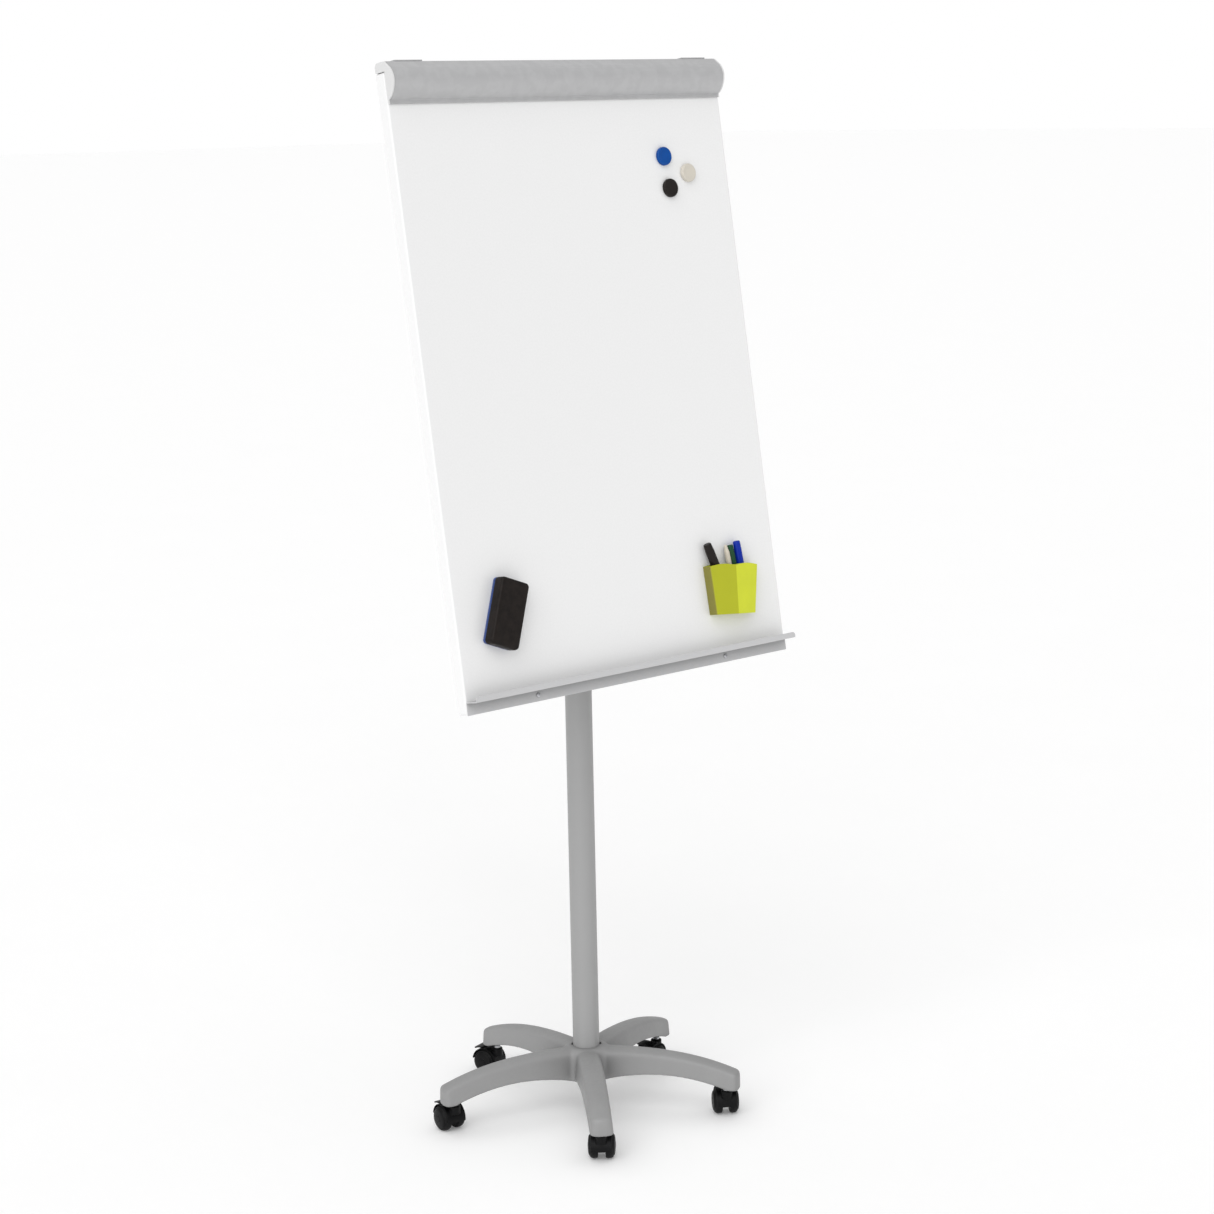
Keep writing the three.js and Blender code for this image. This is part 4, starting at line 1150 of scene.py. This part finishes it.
def eraser():
    """Crowned shell with rounded edges over a bulging, fuzzy felt pad."""
    at = on_board(-258, -GAP, 147, 21.5)
    rings = []
    for inset, y in [(2.5, -5.3), (0.9, -5.6), (0.2, -6.6), (0, -8), (0, -14), (0, -20.5), (0.5, -22.6),
                     (1.4, -24.0), (2.8, -24.8), (4.6, -25.0), (12, -25.2), (22, -25.0)]:
        outline = rounded_rectangle(ERASER_WIDTH - 2 * inset, ERASER_LENGTH - 2 * inset, max(7 - inset, 3), 8)
        rings.append([(x, y, z) for x, z in outline])
    finish_piece(loft(rings), "eraser_shell_moulding", "eraser_shell", "eraser", "eraser_body", at)
    rings = []
    for k in range(9):
        y = -5 * k / 8
        inset = 2 - 2 * 0.55 * sin(pi * k / 8)
        ring = []
        for x, z in rounded_rectangle(ERASER_WIDTH - inset, ERASER_LENGTH - inset, 6, 24):
            fuzz = 0.28 * noise.noise(Vector((x * 0.9, y * 2.5, z * 0.9)))
            ring.append((x + fuzz * (1 if x > 0 else -1), y, z + fuzz * (1 if z > 0 else -1)))
        rings.append(ring)
    finish_piece(loft(rings), "eraser_felt_pad", "eraser_felt", "eraser", "eraser_felt", at, 60)


def holder_plan(inset):
    """Five-sided outline of the cup, cut into short steps so that the rim can follow its arches."""
    half, side = HOLDER_TOP_WIDTH / 2 - inset, inset - HOLDER_SIDE_DEPTH
    points = [(-half, -inset), (-half, side), (HOLDER_RIDGE_X, inset - HOLDER_RIDGE_DEPTH), (half, side),
              (half, -inset)]
    radius = max(3.0 - inset, 1.0)
    plan = fillet(points, [0.5, radius, 5.0, radius, 0.5], 6)
    finer = []
    for a, b in zip(plan, plan[1:] + plan[:1]):
        length = (Vector(b) - Vector(a)).length
        parts = max(1, round(length / 4))
        finer += [tuple(Vector(a).lerp(Vector(b), k / parts)) for k in range(parts)]
    return finer


def holder_rim(x, half):
    """Height of the rim: one low arch over each front facet."""
    u, ridge = x / half, HOLDER_RIDGE_X / half
    span = (u + 1) / (ridge + 1) if u < ridge else (1 - u) / (1 - ridge)
    span = min(max(span, 0), 1)
    return HOLDER_HEIGHT - 3.0 + 3.224 * sin(pi * span) + 0.8 * span


def holder_wall(inset, floor, count=14):
    """Rings of the tapering cup from a floor up to the rim."""
    full = HOLDER_TOP_WIDTH / 2 - inset
    plan = holder_plan(inset)
    rings = []
    for k in range(count + 1):
        ring = []
        for x, y in plan:
            z = floor + (holder_rim(x, full) - floor) * k / count
            half = (HOLDER_BOTTOM_WIDTH + (HOLDER_TOP_WIDTH - HOLDER_BOTTOM_WIDTH) * z / HOLDER_HEIGHT) / 2
            ring.append((x * (half - inset) / full, y, z - HOLDER_HEIGHT / 2))
        rings.append(ring)
    return rings


def pen_holder():
    shell, inside = loft(holder_wall(0, 0)), holder_wall(HOLDER_WALL, HOLDER_FLOOR)
    above = [(x, y, z + 12) for x, y, z in inside[-1]]
    cut(shell, loft(inside + [above]))
    finish_piece(soften(shell, 0.55, 3, 45), "pen_holder_cup", "holder_lime", "pen_holder", "pen_holder",
                 HOLDER, 30)


def marker_body(radius, length, crown, seam, ribs=0):
    """Barrel, seam and cap; ribs cut shallow flutes into the cap."""
    r, end = radius, length
    profile = [(r - 2.0, 0), (r - 0.6, 0.4), (r - 0.1, 1.4), (r, 3), (r, seam - 0.8), (r - 0.45, seam - 0.5),
               (r - 0.45, seam + 0.1), (r, seam + 0.5), (r, end - 13), (r - 0.3, end - 11)]
    profile += bow((r - 0.3, end - 11), (crown + 0.5, end - 6), (crown, end - 1.6), 6)
    profile += [(crown - 0.5, end - 0.5), (crown - 1.4, end)]
    body, flute = turned(profile, 48), r + 0.15
    turns = [2 * pi * k / ribs for k in range(ribs)]
    tools = [rod("z", 0.5, seam + 3, end - 9, flute * cos(a), flute * sin(a), 10) for a in turns]
    return cut(body, *tools) if tools else body


def markers():
    """Four pens in the holder: radius, length, crown, seam, ribs, then place, lean and finish."""
    rows = [("black", 7.6, 123.5, 6.7, 78, 0, -0.3, -10.1, -25, "accessory_black"),
            ("cream", 4.5, 111.5, 2.6, 80, 0, 13, -9.5, -11.8, "marker_cream"),
            ("green", 5.5, 111, 5.0, 72, 0, 23.3, -8, -11.2, "marker_green"),
            ("blue", 6.5, 117, 6.0, 74, 14, 35.6, -9.8, -9.9, "marker_blue")]
    for colour, radius, length, crown, seam, ribs, x, y, lean, slot in rows:
        node = f"marker_{colour}"
        at = HOLDER @ placing(x, y, MARKER_FOOT - HOLDER_HEIGHT / 2, lean)
        finish_piece(marker_body(radius, length, crown, seam, ribs), f"{node}_pen", slot, node, node, at)


# Stage


def floor():
    """Pale floor out to the horizon, faintly luminous so that it meets the background."""
    work = bmesh.new()
    reach = 90
    corners = ((-reach, -reach, 0), (reach, -reach, 0), (reach, reach, 0), (-reach, reach, 0))
    work.faces.new([work.verts.new(p) for p in corners])
    plane = as_object(work)
    plane.name = "studio_floor"
    look = layered("studio_floor", grey(250), 0.75, mottle=0.004, patch=3, grain=200, depth=0.02)
    shader = look.node_tree.nodes["Principled BSDF"]
    shader.inputs["Emission Color"].default_value = (1, 1, 1, 1)
    shader.inputs["Emission Strength"].default_value = 0.07
    plane.data.materials.append(look)


def soft_sun(name, toward, spread_deg, power):
    """Broad light from a direction, even over the whole floor."""
    data = bpy.data.lights.new(name, "SUN")
    data.angle = radians(spread_deg)
    data.energy = power
    lamp = add_object(name, data)
    lamp.rotation_mode = "QUATERNION"
    lamp.rotation_quaternion = (-Vector(toward)).to_track_quat("-Z", "Y")


def studio():
    world = bpy.data.worlds.new("studio")
    bpy.context.scene.world = world
    world.use_nodes = True
    tree = world.node_tree
    background = tree.nodes["Background"]
    background.inputs["Color"].default_value = (1, 1, 1, 1)
    rays = tree.nodes.new("ShaderNodeLightPath")
    strength = tree.nodes.new("ShaderNodeMapRange")
    strength.inputs["To Min"].default_value = WORLD_LIGHT
    strength.inputs["To Max"].default_value = WORLD_SEEN
    tree.links.new(rays.outputs["Is Camera Ray"], strength.inputs["Value"])
    tree.links.new(strength.outputs["Result"], background.inputs["Strength"])
    soft_sun("key", (-0.80, -0.52, 0.62), 60, 1.4)
    soft_sun("top", (-0.1, 0.1, 1.0), 80, 0.55)


def camera():
    yaw, pitch, roll = CAMERA_YAW, CAMERA_PITCH, CAMERA_ROLL
    ahead = Vector((sin(yaw) * cos(pitch), cos(yaw) * cos(pitch), -sin(pitch)))
    right = Vector((cos(yaw), -sin(yaw), 0))
    up = right.cross(ahead)
    across = cos(roll) * right + sin(roll) * up
    upward = -sin(roll) * right + cos(roll) * up
    data = bpy.data.cameras.new("photo_view")
    data.sensor_width = 36
    data.lens = CAMERA_LENS
    data.clip_start, data.clip_end = 0.1, 300
    view = add_object("photo_view", data)
    turn = Matrix((across, upward, -ahead)).transposed().to_4x4()
    x, y, z = CAMERA_AT
    view.matrix_world = Matrix.Translation((x, AXIS_Y + y, z)) @ turn
    bpy.context.scene.camera = view


for build in (
    star_base, hub_bolt, outer_column, height_collar, height_knob, inner_column, tilt_yoke, tilt_bolt,
    tilt_knob, castors, back_frame, board_face, board_back, pen_tray, tray_screws, clamp, magnets,
    eraser, pen_holder, markers, floor, studio, camera,
):
    build()
bpy.context.scene.view_settings.view_transform = "Standard"
